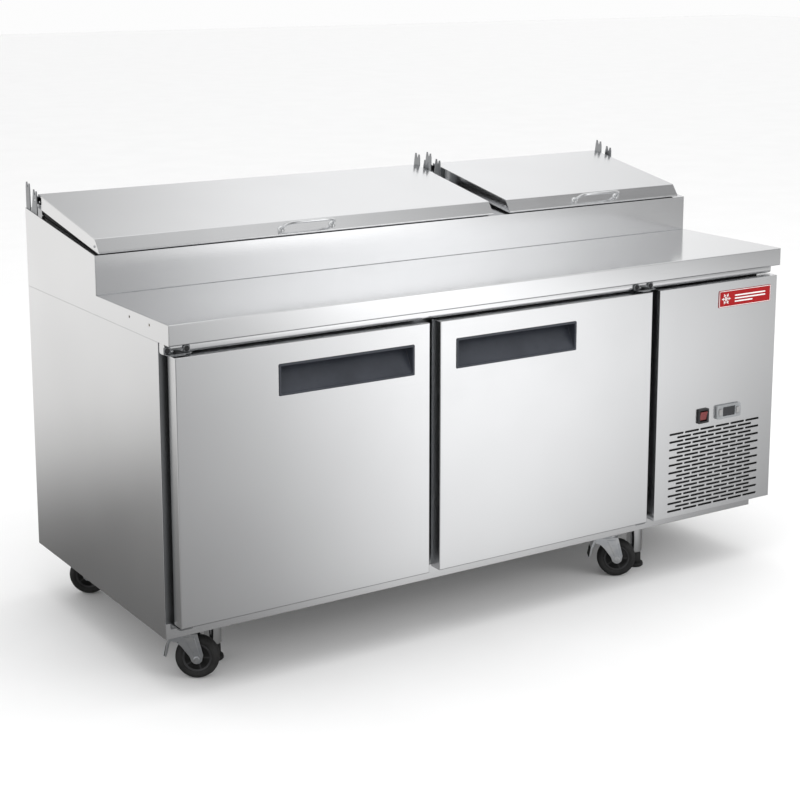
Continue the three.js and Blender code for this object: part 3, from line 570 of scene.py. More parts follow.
# ---- lids ----
PIN = (0, 758.0, 1034.0)
LID_REACH = {"left": (8.0, 1125.0), "right": (1180.0, 1770.0)}
LID_BUSHES = {"left": ((5.2, 7.7), (1125.3, 1131.6)), "right": ((1173.4, 1179.7), (1770.3, 1786.6))}
LID_SECTION = [(386, 953), (378, 953), (402, 986), (751, 1050), (753, 1015)]
LID_END = [(379, 953.6), (386, 953.4), (752, 1015.4), (750.4, 1048.6), (402.6, 985)]
GRIP_MIDDLE = {"left": 563.0, "right": 1476.0}
GRIP_HALF = 72
GRIP_RISE = [(0, 394, 966), (0, 380, 976), (3, 371, 982.5), (14, 366, 986), (48, 365, 986.7)]
GRIP_FOOT = [(0, -1), (9, -1), (9, 1.2), (7.5, 2.4), (5, 3.4), (0, 3.4)]


# A section over the roof between two places along Y, with its (foot, top) above the roof at each.
def over_roof(places, front, back):
    near, far = places
    return [(near, roof_at(near) + front[0]), (far, roof_at(far) + back[0]),
            (far, roof_at(far) + back[1]), (near, roof_at(near) + front[1])]


def lid_cover(side, body, x0, x1):
    cover = Shape().prism("x", folded(LID_SECTION, 1.6, 3.0), (x0 + 0.4, x1 - 0.4))
    for wall in ((x0, x0 + 1.6), (x1 - 1.6, x1)):
        cover.sheet("x", [LID_END], wall, 0.5)
    cover.done(f"lid_cover_{side}", body, "steel", "stainless", (body,), smooth=50)


def lid_pins(side, body, x0, x1):
    trim = Shape()
    for wall, face, out in (((x0, x0 + 3), x0, -1), ((x1 - 3, x1), x1, 1)):
        trim.sheet("x", [rounded((728, 766), (1024, 1043), 3)], wall, 0.4)
        for y, z in ((404, 968), (738, 1031)):
            trim.screw((face, y, z), "x", out, 3.2)
    node_x = span(body)[0]
    for a, b in ((node_x[0], x0 + 2), (x1 - 2, node_x[1])):
        pin = [(0, a), (3.4, a), (4, a + 0.6), (4, b - 0.6), (3.4, b), (0, b)]
        trim.turned(pin, PIN, "x", 20)
    trim.done(f"lid_hinge_parts_{side}", body, "zinc", "zinc")
    bushes = Shape()
    for reach in LID_BUSHES[side]:
        bushes.turned(ring(4.1, 7.5, reach), PIN, "x", 20)
    bushes.done(f"lid_bushes_{side}", body, "plastic", "black_plastic", bevel=0.4)


def lid_lining(side, body, x0, x1):
    seal = Shape()
    for places in ((392.0, 412.0), (722.0, 742.0)):
        seal.prism("x", over_roof(places, (1.2, 9), (1.2, 9)), (x0 + 5, x1 - 5))
    for reach in ((x0 + 5, x0 + 22), (x1 - 22, x1 - 5)):
        seal.prism("x", over_roof((392, 742), (1.2, 9), (1.2, 16)), reach)
    seal.done(f"lid_seal_{side}", body, "rubber", "black_rubber", bevel=1.2)
    lining = over_roof((394, 740), (8, 10), (14, 16))
    Shape().prism("x", lining, (x0 + 8, x1 - 8)).done(f"lid_pan_{side}", body, "pan", "stainless",
                                                      bevel=0.5)


# A bail of bent rod on two round feet, square to the lid's nose.
def lid_grip(side, body):
    ends = (GRIP_MIDDLE[side] - GRIP_HALF, GRIP_MIDDLE[side] + GRIP_HALF)
    line = [(ends[0] + x, y, z) for x, y, z in GRIP_RISE]
    line += [(ends[1] - x, y, z) for x, y, z in reversed(GRIP_RISE)]
    grip = Shape().tube(line, 3.9, sides=4)
    lean = Matrix.Rotation(math.radians(54), 4, "X")
    for x in ends:
        foot = Shape().turned(GRIP_FOOT, (0, 0, 0), "z", 28)
        grip.take(foot.place(Matrix.Translation((x, 388.5, 969)) @ lean).mesh)
    grip.done(f"lid_grip_{side}", body, "chrome", "chrome", (f"lid_handle_{side}",), smooth=60)


for side in SIDES:
    for make in (lid_cover, lid_pins, lid_lining):
        make(side, f"lid_{side}", *LID_REACH[side])
    lid_grip(side, f"lid_{side}")


# ---- doors ----
# A flat frame on an X-Z outline, between two insets of it, with the corner radius of each.
def border(x, z, outer, inner):
    return [rounded(inset(x, by), inset(z, by), r) for by, r in (outer, inner)]


def door_panel(side, body, x, z, cup_x, cup_z):
    mouth = rounded(inset(cup_x, -0.3), inset(cup_z, -0.3), 1.5)
    skin = f"door_skin_{side}"
    Shape().sheet("y", [rounded(x, z, 1.2), mouth], span(skin)[1], 2.0, 3).done(
        f"door_panel_{side}", body, "steel_door", "stainless", (skin,), smooth=60)


# The liner steps in twice towards a shallow panel with a raised border.
def door_back(side, body, x, z):
    back = Shape().sheet("y", [rounded(inset(x, 6), inset(z, 6), 6)], (37.4, 39.2), 0.5)
    back.sheet("y", [rounded(inset(x, 46), inset(z, 46), 14)], (38.5, 40.6), 0.9)
    back.sheet("y", border(x, z, (60, 12), (78, 10)), (39.5, 42.0), 1.0)
    back.done(f"door_back_{side}", body, "liner", "door_liner", (f"door_core_{side}",))


# Three ribs make the magnetic gasket, from its foot to the soft face.
def door_seal(side, body, x, z):
    seal = Shape()
    for outer, inner, reach, soft in ((8, 16, (40.7, 45.5), 1.0), (0, 24, (44.5, 49.5), 1.8),
                                      (3, 21, (48.5, 53.7), 2.2)):
        rib = border(inset(x, 17), inset(z, 16), (outer, 7), (inner, 5))
        seal.sheet("y", rib, reach, soft, 2)
    seal.done(f"door_seal_{side}", body, "rubber", "black_rubber", (f"door_gasket_{side}",),
              smooth=60)


def handle_cup(side, body, cup_x, cup_z):
    refined(f"handle_cup_{side}", "cup", "cup_plastic", 0.9)
    rim = border(cup_x, cup_z, (-1.2, 2.5), (3.4, 1.5))
    Shape().sheet("y", rim, (-2.2, 0.4), 0.8, 2).done(f"cup_rim_{side}", body, "cup",
                                                      "cup_plastic")


for side in SIDES:
    body = f"door_{side}"
    x, _, z = span(f"door_skin_{side}")
    cup_x, _, cup_z = span(f"handle_cup_{side}")
    door_panel(side, body, x, z, cup_x, cup_z)
    door_back(side, body, x, z)
    door_seal(side, body, x, z)
    handle_cup(side, body, cup_x, cup_z)

# ---- machine bay ----
SWITCH_X, _, SWITCH_Z = span("switch_housing")
CONTROL_X, _, CONTROL_Z = span("controller_housing")
SLOT_ROWS, SLOTS_IN_ROW = 21, 6
SLOT_LONG, SLOT_HIGH, SLOT_ROUND = 49, 5.4, 2.65
SLOT_PITCH, ROW_PITCH = 54, 10.5
SLOTS_AT = (1424, 182)


# Every second row is one slot shorter and half a pitch over.
def grille_slots():
    slots = []
    for row in range(SLOT_ROWS):
        odd = row % 2
        for i in range(SLOTS_IN_ROW - odd):
            left = SLOTS_AT[0] + (i + odd / 2) * SLOT_PITCH
            low = SLOTS_AT[1] + row * ROW_PITCH
            slots.append(rounded((left, left + SLOT_LONG), (low, low + SLOT_HIGH), SLOT_ROUND))
    return slots


def front_cover():
    cuts = [rounded(inset(x, 2), inset(z, 2), 1) for x, z in ((SWITCH_X, SWITCH_Z),
                                                              (CONTROL_X, CONTROL_Z))]
    cover = Shape().sheet("y", [rounded(COVER_X, COVER_Z, 1.0), *cuts, *grille_slots()],
                          (0, SHEET), 0.35)
    wide, high = inset(COVER_X, 0.5), inset(COVER_Z, 0.5)
    depth = (0.9, COVER_Y[1])
    for x in ((wide[0], wide[0] + 1.4), (wide[1] - 1.4, wide[1])):
        cover.box(x, depth, high)
    for z in ((high[0], high[0] + 1.4), (high[1] - 1.4, high[1])):
        cover.box(wide, depth, z)
    cover.done("cover_panel", "cabinet", "steel_door", "stainless", ("front_cover",))


# A dark ribbed filter behind the grille.
def grille_filter():
    x, z = (1412, 1762), (172, 406)
    backing = Shape().sheet("y", [rounded(x, z, 2)], (9, 12), 0.4)
    for i in range(34):
        left = x[0] + 8 + i * 10
        backing.box((left, left + 2), (8, 9.5), inset(z, 4))
    backing.done("grille_filter", "cabinet", "plastic", "black_plastic")


# One arm of the snowflake, on the origin, with two twigs at each end.
def flake_arm(raised):
    arm = Shape().box((-15, 15), raised, (-1.1, 1.1))
    for end, away in ((-10, math.pi), (10, 0)):
        for tilt in (-0.8, 0.8):
            twig = Shape().box((-5, 0), raised, (-0.8, 0.8))
            twig.place(Matrix.Translation((end * 0.75, 0, 0))
                       @ Matrix.Rotation(away + math.pi + tilt, 4, "Y"))
            arm.take(twig.mesh)
    return arm


# A red plate with a white line round it, a snowflake and three plain bars.
def badge():
    x, _, z = span("badge")
    Shape().sheet("y", [rounded(x, z, 3)], (-1.6, -0.3), 0.4).done(
        "badge_plate", "cabinet", "red", "badge_red", ("badge",))
    raised = (-2.0, -1.3)
    mark = Shape().sheet("y", border(x, z, (1.2, 2.4), (2.6, 1.6)), raised, 0.1)
    middle = (z[0] + z[1]) / 2
    for k in range(3):
        turned = Matrix.Rotation(k * math.pi / 3, 4, "Y")
        arm = flake_arm(raised).place(Matrix.Translation((x[0] + 25, 0, middle)) @ turned)
        mark.take(arm.mesh)
    for rise, wide in ((6.5, 110), (-1.5, 110), (-9.5, 64)):
        bar = rounded((x[0] + 56, x[0] + 56 + wide), (middle + rise - 1.8, middle + rise + 1.8),
                      1.7)
        mark.sheet("y", [bar], raised, 0.1)
    mark.done("badge_mark", "cabinet", "white", "badge_red")


def switch_frame():
    well = rounded(inset(SWITCH_X, 6), inset(SWITCH_Z, 5), 1)
    body = Shape().sheet("y", [rounded(SWITCH_X, SWITCH_Z, 3), well], (-6, -0.3), 1.0, 2)
    neck = rounded(inset(SWITCH_X, 2.4), inset(SWITCH_Z, 2.4), 1)
    body.sheet("y", [neck, well], (-1, 24), 0.3)
    body.box(inset(SWITCH_X, 2.6), (12, 24), inset(SWITCH_Z, 2.6))
    body.done("switch_frame", "cabinet", "plastic", "black_plastic", ("switch_housing",))


def controller():
    wells = [rounded((1604, 1647), (420, 445), 1.5)]
    wells += [rounded(x, (423.5, 441.5), 2) for x in ((1588.5, 1600.5), (1650.5, 1662.5))]
    Shape().sheet("y", [rounded(CONTROL_X, CONTROL_Z, 5), *wells], (-8, -0.3), 1.2, 2).done(
        "controller_bezel", "cabinet", "grey", "bezel_grey", ("controller_housing",))
    Shape().sheet("y", [rounded((1603, 1648), (419, 446), 1.5)], (-6, -5), 0.2).done(
        "controller_window", "cabinet", "glass", "black_plastic")
    Shape().box((1586, 1665), (-1.0, 40), (416.5, 448.5)).done(
        "controller_case", "cabinet", "plastic", "black_plastic", bevel=0.8)


BAY_X, BAY_Y, BAY_Z = span("machine_bay_frame")


def bay_panels():
    vents = [rounded((1440, 1700), (300 + i * 24, 308 + i * 24), 3.9) for i in range(8)]
    gland_hole = circle((1700, 220), 8.3, 20)
    bay = Shape().sheet("y", [rounded(BAY_X, BAY_Z, 0.6), *vents, gland_hole],
                        (BAY_Y[1] - SHEET, BAY_Y[1]), 0.3)
    depth = (BAY_Y[0], BAY_Y[1] - 1)
    bay.box((BAY_X[1] - SHEET, BAY_X[1]), depth, BAY_Z)
    bay.box(BAY_X, depth, (BAY_Z[0], BAY_Z[0] + SHEET))
    bay.box(BAY_X, (84.3, depth[1]), (778, 778 + SHEET))
    bay.done("bay_panels", "cabinet", "steel_side", "frame_steel", ("machine_bay_frame",))


# Screws that hold the back, the hood and the bay's side.
def back_screws():
    back = 820
    for x in (20, 455, 905, 1350, 1392, 1752):
        for z in (150, 470, 790):
            fixings.screw((x, back, z), "y", 1)
    for x in (20, 455, 905, 1350, 1780):
        fixings.screw((x, back, 985), "y", 1)
    for z in (200, 480, 740):
        for y in (90, 790):
            fixings.screw((BAY_X[1], y, z), "x", 1)
    fixings.done("fixings", "cabinet", "chrome", "chrome")


def condenser():
    x, y, z = span("condenser_coil")
    fins = Shape()
    for i in range(62):
        left = x[0] + 14 + i * (x[1] - x[0] - 28) / 61
        fins.box((left, left + 0.7), inset(y, 6), (160, z[1]))
    for plate in ((x[0] + 8, x[0] + 10), (x[1] - 10, x[1] - 8)):
        fins.box(plate, y, z)
    fins.done("coil_fins", "cabinet", "aluminium", "liner_aluminium", ("condenser_coil",))
    pipes = Shape()
    depth, pitch, runs = 130, 28, 9
    for i in range(runs):
        level = 178 + i * pitch
        pipes.tube([(x[0], depth, level), (x[1], depth, level)], 4, smooth=False)
        end, out = (x[1], 8) if i % 2 == 0 else (x[0], -8)
        if i < runs - 1:
            bend = [(end, level), (end + out, level + 4), (end + out, level + pitch - 4),
                    (end, level + pitch)]
            pipes.tube([(u, depth, v) for u, v in bend], 4)
    pipes.done("coil_pipes", "cabinet", "copper", "copper")


def compressor_seam():
    seam = [(60, 0), (78.5, 0), (78.5, 4), (76, 6), (60, 6), (60, 0)]
    Shape().turned(seam, (1600, 560, 214), "z", 48).done("compressor_seam", "cabinet", "paint",
                                                         "black_paint")


for make in (front_cover, grille_filter, badge, switch_frame, controller, bay_panels, back_screws,
             condenser):
    make()
refined("refrigerant_line", "copper", "copper", 0, smooth=80)
compressor_seam()

# ---- inside the cabinet ----
FAN_Y, FAN_Z = 495.0, 650.0
HOUSE_X, HOUSE_Y, HOUSE_Z = span("evaporator_housing")


def evaporator_case():
    air = [rounded((320, 390), (560 + 32 * i, 570 + 32 * i), 4) for i in range(6)]
    case = Shape().sheet(
        "x", [rounded(HOUSE_Y, HOUSE_Z, 3), circle((FAN_Y, FAN_Z), 76, 48), *air],
        (HOUSE_X[0], HOUSE_X[0] + 2), 0.4)
    deep = (HOUSE_X[0] + 1, HOUSE_X[1])
    for y in ((HOUSE_Y[0], HOUSE_Y[0] + 2), (HOUSE_Y[1] - 2, HOUSE_Y[1])):
        case.box(deep, y, inset(HOUSE_Z, 1))
    for z in ((HOUSE_Z[0], HOUSE_Z[0] + 2), (HOUSE_Z[1] - 2, HOUSE_Z[1])):
        case.box(deep, inset(HOUSE_Y, 1), z)
    motor, shaft = (HOUSE_X[1] - 40, HOUSE_X[1] - 12), (HOUSE_X[0] + 8, HOUSE_X[1] - 30)
    case.turned(rod(24, motor), (0, FAN_Y, FAN_Z), "x", 32)
    case.turned(rod(3, shaft), (0, FAN_Y, FAN_Z), "x", 16)
    case.box((HOUSE_X[1] - 14, HOUSE_X[1] - 10), HOUSE_Y, (FAN_Z - 6, FAN_Z + 6))
    case.done("evaporator_case", "cabinet", "aluminium", "liner_aluminium",
              ("evaporator_housing",))


def evaporator_guard():
    guard = Shape()
    for r in (14, 30, 46, 62, 75):
        loop = [(HOUSE_X[0] - 1.4, y, z) for y, z in circle((FAN_Y, FAN_Z), r, 32)]
        guard.tube(loop, 1.0, smooth=False, sides=1, closed=True)
    for k in range(6):
        a = math.pi * k / 6
        across, up = 76 * math.cos(a), 76 * math.sin(a)
        spoke = [(HOUSE_X[0] - 0.4, FAN_Y + s * across, FAN_Z + s * up) for s in (-1, 1)]
        guard.tube(spoke, 1.0, smooth=False, sides=1)
    guard.done("evaporator_guard", "cabinet", "chrome", "chrome")


def wire_shelf(side):
    x, y, z = span(f"shelf_{side}")
    rack = Shape()
    loop = [(u, v, z[0] + 3) for u, v in rounded(inset(x, 3), inset(y, 3), 12)]
    rack.tube(loop, 2.9, smooth=False, closed=True)
    for i in range(27):
        left = x[0] + (x[1] - x[0]) * (i + 1) / 28
        rack.tube([(left, v, z[0] + 4.2) for v in inset(y, 3)], 1.5, smooth=False, sides=1)
    for brace in (y[0] + 190, y[0] + 410):
        rack.tube([(u, brace, z[0] + 2) for u in inset(x, 3)], 2.0, smooth=False)
    rack.done(f"wire_shelf_{side}", "cabinet", "chrome", "chrome", (f"shelf_{side}",), smooth=60)


evaporator_case()
evaporator_guard()
for side in SIDES:
    wire_shelf(side)

# ---- food pans ----
# Each side's pans: where the first begins, how many there are and how deep they hang.
PANS = {"left": (54, 6, 150), "right": (1211, 3, 100)}
PAN_PITCH, PAN_GAP = 176, 0.4
PAN_Y = (32.0, 357.0)


# A pan's rim and walls as rings on the roof's own plane: inset, level and corner radius.
def pan_rings(drop):
    return ((0, -2.2, 3), (0, -0.9, 3), (7, -0.9, 14), (9.5, -3.5, 16), (10, -12, 17),
            (11.5, 6 - drop, 18), (17, 1.4 - drop, 20))


def food_pans(side):
    first, count, drop = PANS[side]
    work = bmesh.new()
    for i in range(count):
        x = inset((first + i * PAN_PITCH, first + (i + 1) * PAN_PITCH), PAN_GAP)
        rings = []
        for by, level, r in pan_rings(drop):
            loop = rounded(inset(x, by), inset(PAN_Y, by), r, 5)
            rings.append([work.verts.new((u, v, level)) for u, v in loop])
        for a, b in zip(rings, rings[1:]):
            for k in range(len(a)):
                j = (k + 1) % len(a)
                work.faces.new((a[k], a[j], b[j], b[k]))
        work.faces.new(rings[-1])
    bmesh.ops.recalc_face_normals(work, faces=work.faces)
    data = bpy.data.meshes.new("pans")
    work.to_mesh(data)
    work.free()
    data.transform(TO_FRAME @ ON_ROOF)
    pans = bpy.data.objects.new(f"pans_{side}", data)
    scene.collection.objects.link(pans)
    thick = pans.modifiers.new("sheet", "SOLIDIFY")
    thick.thickness = 0.8 * MM
    thick.offset = -1
    finished(pans, "cabinet", "pan", "pan_steel", (f"food_pans_{side}",), smooth=50)


for side in SIDES:
    food_pans(side)

# ---- casters and legs ----
# Where each caster's swivel stands, and where its leg stands from there.
CASTERS = {
    "front_left": ((79, 122), (100, 60)),
    "front_right": ((1309, 110), (116, 20)),
    "back_left": ((79, 752), (100, -60)),
    "back_right": ((1309, 752), (116, -20)),
}
TRAIL = math.radians(-32.7)
WHEEL = (28, 0, 51)
TYRE = [(33, -12), (36, -15), (40, -16), (44, -15.6), (48.5, -12), (50.6, -6), (51, 0), (50.6, 6),
        (48.5, 12), (44, 15.6), (40, 16), (36, 15), (33, 12), (33, -12)]
HUB = [(4.6, -16), (10, -16), (11, -15), (12, -10.5), (27, -9.5), (29, -12.5), (32, -14),
       (33.5, -13.5), (33.5, 13.5), (32, 14), (29, 12.5), (27, 9.5), (12, 10.5), (11, 15),
       (10, 16), (4.6, 16), (4.6, -16)]
HUB_RIBS = 5
CHEEK = [(-30, 112), (-31, 98), (-28, 93), (-16, 90), (-6, 80), (12, 56), (16, 45), (22, 39.5),
         (28, 38), (34, 39.5), (40, 45), (43, 60), (30, 112)]
CHEEK_RIB = [(0, 104), (6, 92), (21, 60), (25, 54), (32, 54), (35, 60), (27, 92), (24, 104)]
RACE = [(0, 111), (28, 111), (30, 113), (29, 116), (25, 117.5), (0, 117.5)]
PEDAL = [(-22, 108), (-33, 104), (-41, 84), (-46, 56), (-42, 54), (-36, 81), (-28, 97), (-20, 96)]
PEDAL_PIN = (-25, 0, 101)
PEDAL_PAD = [(-43, 80), (-47.8, 56), (-44.6, 55), (-39.6, 79)]
DUST_CAP = [(0, 118), (27, 118), (28.5, 120), (28.5, 123), (26, 126), (0, 127)]
LEG_TUBE = [(18.8, 129), (20.6, 129), (20.6, 46), (20.2, 42), (19.6, 41), (18.8, 41), (18.8, 129)]
SOLE = [(0, 0), (23, 0), (25, 1.5), (25, 6), (24, 9.5), (19, 12.4), (0, 12.4)]
SLEEVE = [(0, 12), (17.5, 12), (18.3, 14), (18.3, 34), (17, 38), (0, 38)]


def caster_wheel(where, swung):
    Shape().turned(TYRE, WHEEL, "y", 64).place(swung).done(
        f"tyre_{where}", f"wheel_{where}", "rubber", "wheel_rubber", (f"caster_wheel_{where}",),
        smooth=60)
    wheel = Shape().turned(HUB, WHEEL, "y", 64)
    for k in range(HUB_RIBS):
        rib = Shape().box((11, 29), (-12.2, 12.2), (-1.6, 1.6))
        spoke = Matrix.Rotation(k * 2 * math.pi / HUB_RIBS, 4, "Y")
        wheel.take(rib.place(Matrix.Translation(WHEEL) @ spoke).mesh)
    wheel.place(swung).done(f"wheel_hub_{where}", f"wheel_{where}", "hub", "black_plastic",
                            smooth=40)


def caster_fork(where, swung):
    fork = Shape()
    for y in ((18, 20.5), (-20.5, -18)):
        fork.sheet("y", [CHEEK], y, 0.7, 2)
    for y in ((20.2, 22.2), (-22.2, -20.2)):
        fork.sheet("y", [CHEEK_RIB], y, 0.9, 2)
    fork.box((-31, 30), (-20.5, 20.5), (109.4, 112))
    fork.turned(RACE, (0, 0, 0), "z", 40)
    fork.turned(rod(5, (110, 122)), (0, 0, 0), "z", 16)
    fork.turned(rod(4.2, (-24.5, 24.5)), WHEEL, "y", 20)
    for out in (1, -1):
        fork.bolt((WHEEL[0], 20.4 * out, WHEEL[2]), "y", out, 7.5, 3.2)
    fork.place(swung).done(f"fork_{where}", f"swivel_{where}", "zinc", "zinc",
                           (f"caster_fork_{where}",), bevel=0.5)


def brake(where, swung):
    pedal = Shape().sheet("y", [PEDAL], (-17.2, 17.2), 1.0, 2)
    pedal.turned(rod(2.5, (-20, 20)), PEDAL_PIN, "y", 16)
    pedal.place(swung).done(f"pedal_{where}", f"pedal_{where}", "zinc", "black_plastic",
                            (f"brake_pedal_{where}",), bevel=0.4)
    Shape().sheet("y", [PEDAL_PAD], (-15, 15), 0.6).place(swung).done(
        f"pedal_pad_{where}", f"pedal_{where}", "rubber", "black_plastic")


# The bolted plate over a caster, and the arm from it to the leg.
def corner_mount(where, here, leg_x, leg_y):
    mount = Shape().sheet("z", [rounded((-46, 46), (-38, 38), 6)], (125.7, 129.7), 0.6)
    arm_y = (0, leg_y + 12) if leg_y > 0 else (leg_y - 12, 0)
    mount.sheet("z", [rounded((10, leg_x), arm_y, 3)], (125.9, 129.6), 0.5)
    mount.turned(DUST_CAP, (0, 0, 0), "z", 40)
    mount.turned(rod(32, (126, 129.7)), (leg_x, leg_y, 0), "z", 36)
    for u in (-37, 37):
        for v in (-29, 29):
            mount.bolt((u, v, 125.7), "z", -1, 6.0, 3.5)
    mount.place(here).done(f"mount_{where}", "cabinet", "zinc", "zinc",
                           (f"corner_mount_{where}",), bevel=0.4)


# The foot's sleeve slides up inside the leg's tube.
def leg(where, here, leg_x, leg_y):
    stands = (leg_x, leg_y, 0)
    Shape().turned(LEG_TUBE, stands, "z", 48).place(here).done(
        f"leg_tube_{where}", "cabinet", "chrome", "chrome", smooth=50)
    foot = Shape().turned(SOLE, stands, "z", 40)
    foot.turned(SLEEVE, stands, "z", 40)
    foot.turned(rod(6, (37, 80)), stands, "z", 20)
    foot.place(here).done(f"foot_{where}", f"foot_{where}", "rubber", "black_rubber",
                          (f"leg_foot_{where}",), smooth=50)


for where, ((x, y), leg_at) in CASTERS.items():
    here = Matrix.Translation((x, y, 0))
    swung = here @ Matrix.Rotation(TRAIL, 4, "Z")
    caster_wheel(where, swung)
    caster_fork(where, swung)
    if where.startswith("front"):
        brake(where, swung)
    corner_mount(where, here, *leg_at)
    leg(where, here, *leg_at)

for node in ("foam_core", "worktop_core"):
    nodes[node].data.materials.clear()
    nodes[node].data.materials.append(M["foam"])

# ---- floor, light and camera ----
# A value read off a line of (where, value) stops.
def graph(tree, value, stops, tint=(1, 1, 1)):
    first, last = stops[0][0], stops[-1][0]
    ramp = add(tree, "ShaderNodeValToRGB", {"Fac": ranged(tree, value, first, last)})
    marks = ramp.color_ramp.elements
    while len(marks) < len(stops):
        marks.new(0.5)
    for mark, (where, level) in zip(marks, stops):
        mark.position = (where - first) / (last - first)
    for mark, (where, level) in zip(marks, stops):
        mark.color = rgba([level * c for c in tint])
    return ramp.outputs["Color"]


# From 0 to 1 with soft ends.
def between(tree, value, low, high):
    return ranged(tree, value, low, high, ease="SMOOTHSTEP")


# Brightness of the studio against the bearing from the Y axis towards +X, in degrees: the walls
# and near floor, and the far floor in front.
STUDIO = [(-180, 0.8), (-60, 0.8), (-20, 0.62), (10, 0.46), (22, 0.42), (25, 0.5), (28, 0.68),
          (31, 1.08), (34, 1.42), (37, 1.34), (39.5, 1.14), (42, 0.96), (45, 0.62), (52, 0.5),
          (90, 0.75), (180, 0.8)]
FAR = [(-180, 0.8), (-60, 0.8), (0, 0.4), (20, 0.34), (24, 0.46), (28, 1.0), (31, 1.55),
       (34, 1.6), (36.5, 1.25), (38.5, 0.85), (41, 0.5), (45, 0.36), (52, 0.4), (90, 0.7),
       (180, 0.8)]
# Overhead in front, against the same bearing: what the lids' sloping noses show.
OVERHEAD = [(-180, 0.9), (0, 0.5), (20, 0.2), (33, 0.2), (38, 0.36), (43, 0.66), (48, 0.86),
            (51, 0.86), (54, 0.66), (56.5, 0.3), (60, 0.1), (78, 0.1), (95, 0.6), (180, 0.9)]
# Behind the table, low and high: what the lids and the end of the worktop show.
BEHIND = [(-180, 0.85), (-60, 0.8), (0, 0.36), (18, 0.42), (23, 0.54), (27, 0.76), (31, 0.98),
          (35, 1.06), (40, 1.02), (44, 0.92), (48, 0.78), (70, 0.75), (180, 0.85)]
# Painted shade in the floor's reflections beside and behind the table, against distance beyond its
# footprint in metres.
PAINTED_SHADE_BESIDE = [(0, 0.14), (0.2, 0.16), (0.5, 0.24), (0.8, 0.4), (1.2, 0.62), (1.8, 0.82),
              (4, 0.95)]
FLOOR_TONE = 0.86
BACKDROP = (0.98, 0.98, 0.98)

FLOOR_HALF = 30
floor_mesh = bpy.data.meshes.new("floor")
floor_work = bmesh.new()
bmesh.ops.create_grid(floor_work, x_segments=1, y_segments=1, size=FLOOR_HALF)
floor_work.to_mesh(floor_mesh)
floor_work.free()
floor = bpy.data.objects.new("floor", floor_mesh)
scene.collection.objects.link(floor)
floor_tones = ((FLOOR_TONE,) * 3, (FLOOR_TONE + 0.015,) * 3)
floor_and_painted_reflection = surface("floor_and_painted_reflection", floor_tones, (0.6, 0.7), (40, 40, 40), relief=0.02,
                       specular=0.2)
floor_mesh.materials.append(floor_and_painted_reflection)

# Seen in a reflection, the floor glows with a painted reflection of light and dark studio cards: by
# bearing from STUDIO_EYE out in front, with painted shade darker towards the table there, and with
# painted shade by nearness to the table's footprint beside and behind it.
STUDIO_EYE = (-2.42, 2.9)
HALF_LONG, HALF_DEEP = 0.9, 0.41
DEGREES = 57.2958
tree = floor_and_painted_reflection.node_tree
place = add(tree, "ShaderNodeSeparateXYZ", {
    "Vector": add(tree, "ShaderNodeTexCoord").outputs["Object"]}).outputs
bearing = maths(tree, "MULTIPLY", DEGREES, maths(
    tree, "ARCTAN2", maths(tree, "SUBTRACT", place["X"], STUDIO_EYE[0]),
    maths(tree, "SUBTRACT", STUDIO_EYE[1], place["Y"])))
near = graph(tree, bearing, STUDIO)
far = graph(tree, bearing, FAR)
front = blend(tree, between(tree, place["Y"], -4.4, -3.4), far, near)
# Painted shade: darker towards the table in front.
painted_shade_in_front = graph(tree, place["Y"], [(-4, 1.0), (-3.2, 1.0), (-2.0, 0.9), (-1.2, 0.72), (-0.6, 0.58)])
front = add(tree, "ShaderNodeVectorMath", {0: front, 1: painted_shade_in_front}, operation="MULTIPLY").outputs[0]
beyond = maths(tree, "MAXIMUM",
               maths(tree, "SUBTRACT", maths(tree, "ABSOLUTE", place["X"]), HALF_LONG),
               maths(tree, "SUBTRACT", maths(tree, "ABSOLUTE", place["Y"]), HALF_DEEP))
# Painted shade near the footprint, slightly warm.
sides = graph(tree, beyond, PAINTED_SHADE_BESIDE, (1.01, 1.0, 0.985))
painted_reflection = blend(tree, between(tree, place["Y"], -0.9, -0.2), front, sides)
glow = add(tree, "ShaderNodeEmission", {"Color": painted_reflection}).outputs["Emission"]
glossy = add(tree, "ShaderNodeLightPath").outputs["Is Glossy Ray"]
shader = tree.nodes["Principled BSDF"].outputs["BSDF"]
both = add(tree, "ShaderNodeMixShader", {0: glossy, 1: shader, 2: glow}).outputs["Shader"]
tree.links.new(both, tree.nodes["Material Output"].inputs["Surface"])

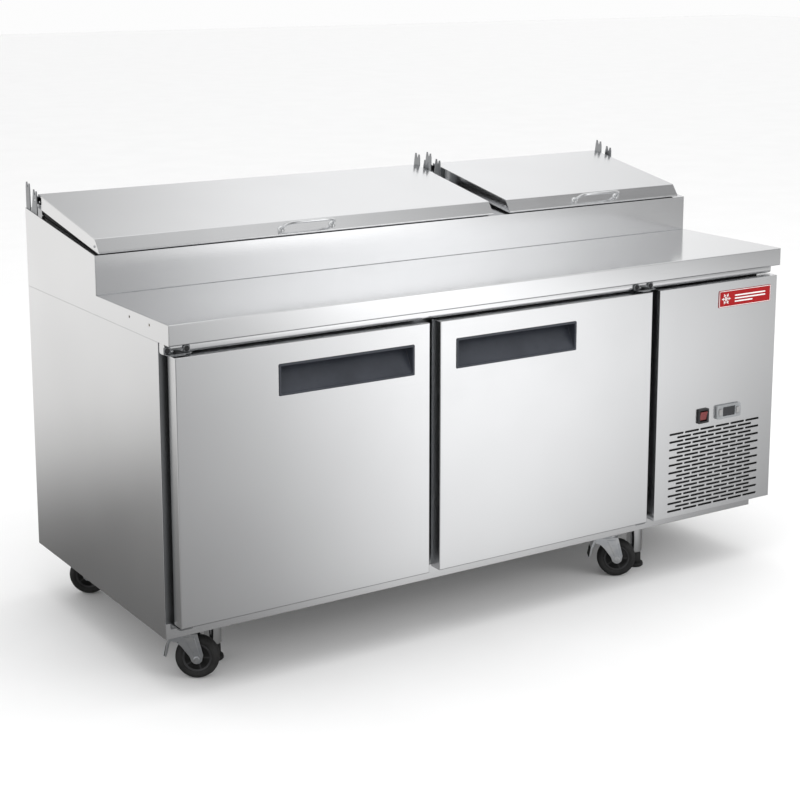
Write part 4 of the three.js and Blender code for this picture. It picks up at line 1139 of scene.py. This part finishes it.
# The world shows walls by bearing to reflections, a plain backdrop to the camera, and even light
# to everything else.
EVEN_LIGHT = (1.12, 1.12, 1.12)
CEILING = (0.98, 0.98, 0.98)
world = bpy.data.worlds.new("studio")
scene.world = world
world.use_nodes = True
tree = world.node_tree
way = add(tree, "ShaderNodeSeparateXYZ", {
    "Vector": add(tree, "ShaderNodeTexCoord").outputs["Generated"]}).outputs
bearing = maths(tree, "MULTIPLY", DEGREES, maths(
    tree, "ARCTAN2", way["X"], maths(tree, "ABSOLUTE", way["Y"])))
behind = graph(tree, bearing, BEHIND)
walls = blend(tree, between(tree, way["Y"], -0.1, 0.1), graph(tree, bearing, FAR), behind)
above = blend(tree, between(tree, way["Y"], -0.4, -0.2), graph(tree, bearing, OVERHEAD),
                 CEILING)
above = blend(tree, between(tree, way["Y"], 0.3, 0.5), above, behind)
walls = blend(tree, between(tree, way["Z"], 0.35, 0.6), walls, above)
rays = add(tree, "ShaderNodeLightPath").outputs
plain = blend(tree, rays["Is Camera Ray"], EVEN_LIGHT, BACKDROP)
lit = blend(tree, rays["Is Glossy Ray"], plain, walls)
tree.links.new(lit, tree.nodes["Background"].inputs["Color"])
tree.nodes["Background"].inputs["Strength"].default_value = 1.0


# A lamp that lights matt surfaces only, since steel would mirror it as a hard patch.
def softbox(name, place, target, size, power):
    data = bpy.data.lights.new(name, "AREA")
    data.shape = "RECTANGLE"
    data.size, data.size_y = size
    data.energy = power
    lamp = bpy.data.objects.new(name, data)
    scene.collection.objects.link(lamp)
    lamp.location = place
    lamp.rotation_mode = "QUATERNION"
    lamp.rotation_quaternion = (Vector(target) - Vector(place)).to_track_quat("-Z", "Y")
    lamp.visible_glossy = False


softbox("key", (2.6, -5.0, 3.2), (0.2, 0, 0.5), (3.5, 2.5), 60)
softbox("top", (0.2, -0.5, 4.2), (0, 0, 0.8), (4.5, 3.0), 50)

# The photo's viewpoint: where the camera stands, how it is turned and pitched, and its lens.
CAMERA_AT = (-2.4197, -3.6746, 1.6363)
TURN, PITCH = math.radians(32.82), math.radians(-10.81)
LENS, SENSOR, SHIFT = 77.4, 36, -0.15
look = Vector((math.sin(TURN) * math.cos(PITCH), math.cos(TURN) * math.cos(PITCH),
               math.sin(PITCH)))
camera_data = bpy.data.cameras.new("camera")
camera_data.lens = LENS
camera_data.sensor_width = SENSOR
camera_data.shift_y = SHIFT
camera = bpy.data.objects.new("camera", camera_data)
camera.location = CAMERA_AT
camera.rotation_mode = "QUATERNION"
camera.rotation_quaternion = look.to_track_quat("-Z", "Y")
scene.collection.objects.link(camera)
scene.camera = camera
scene.view_settings.view_transform = "Standard"
scene.cycles.use_denoising = True
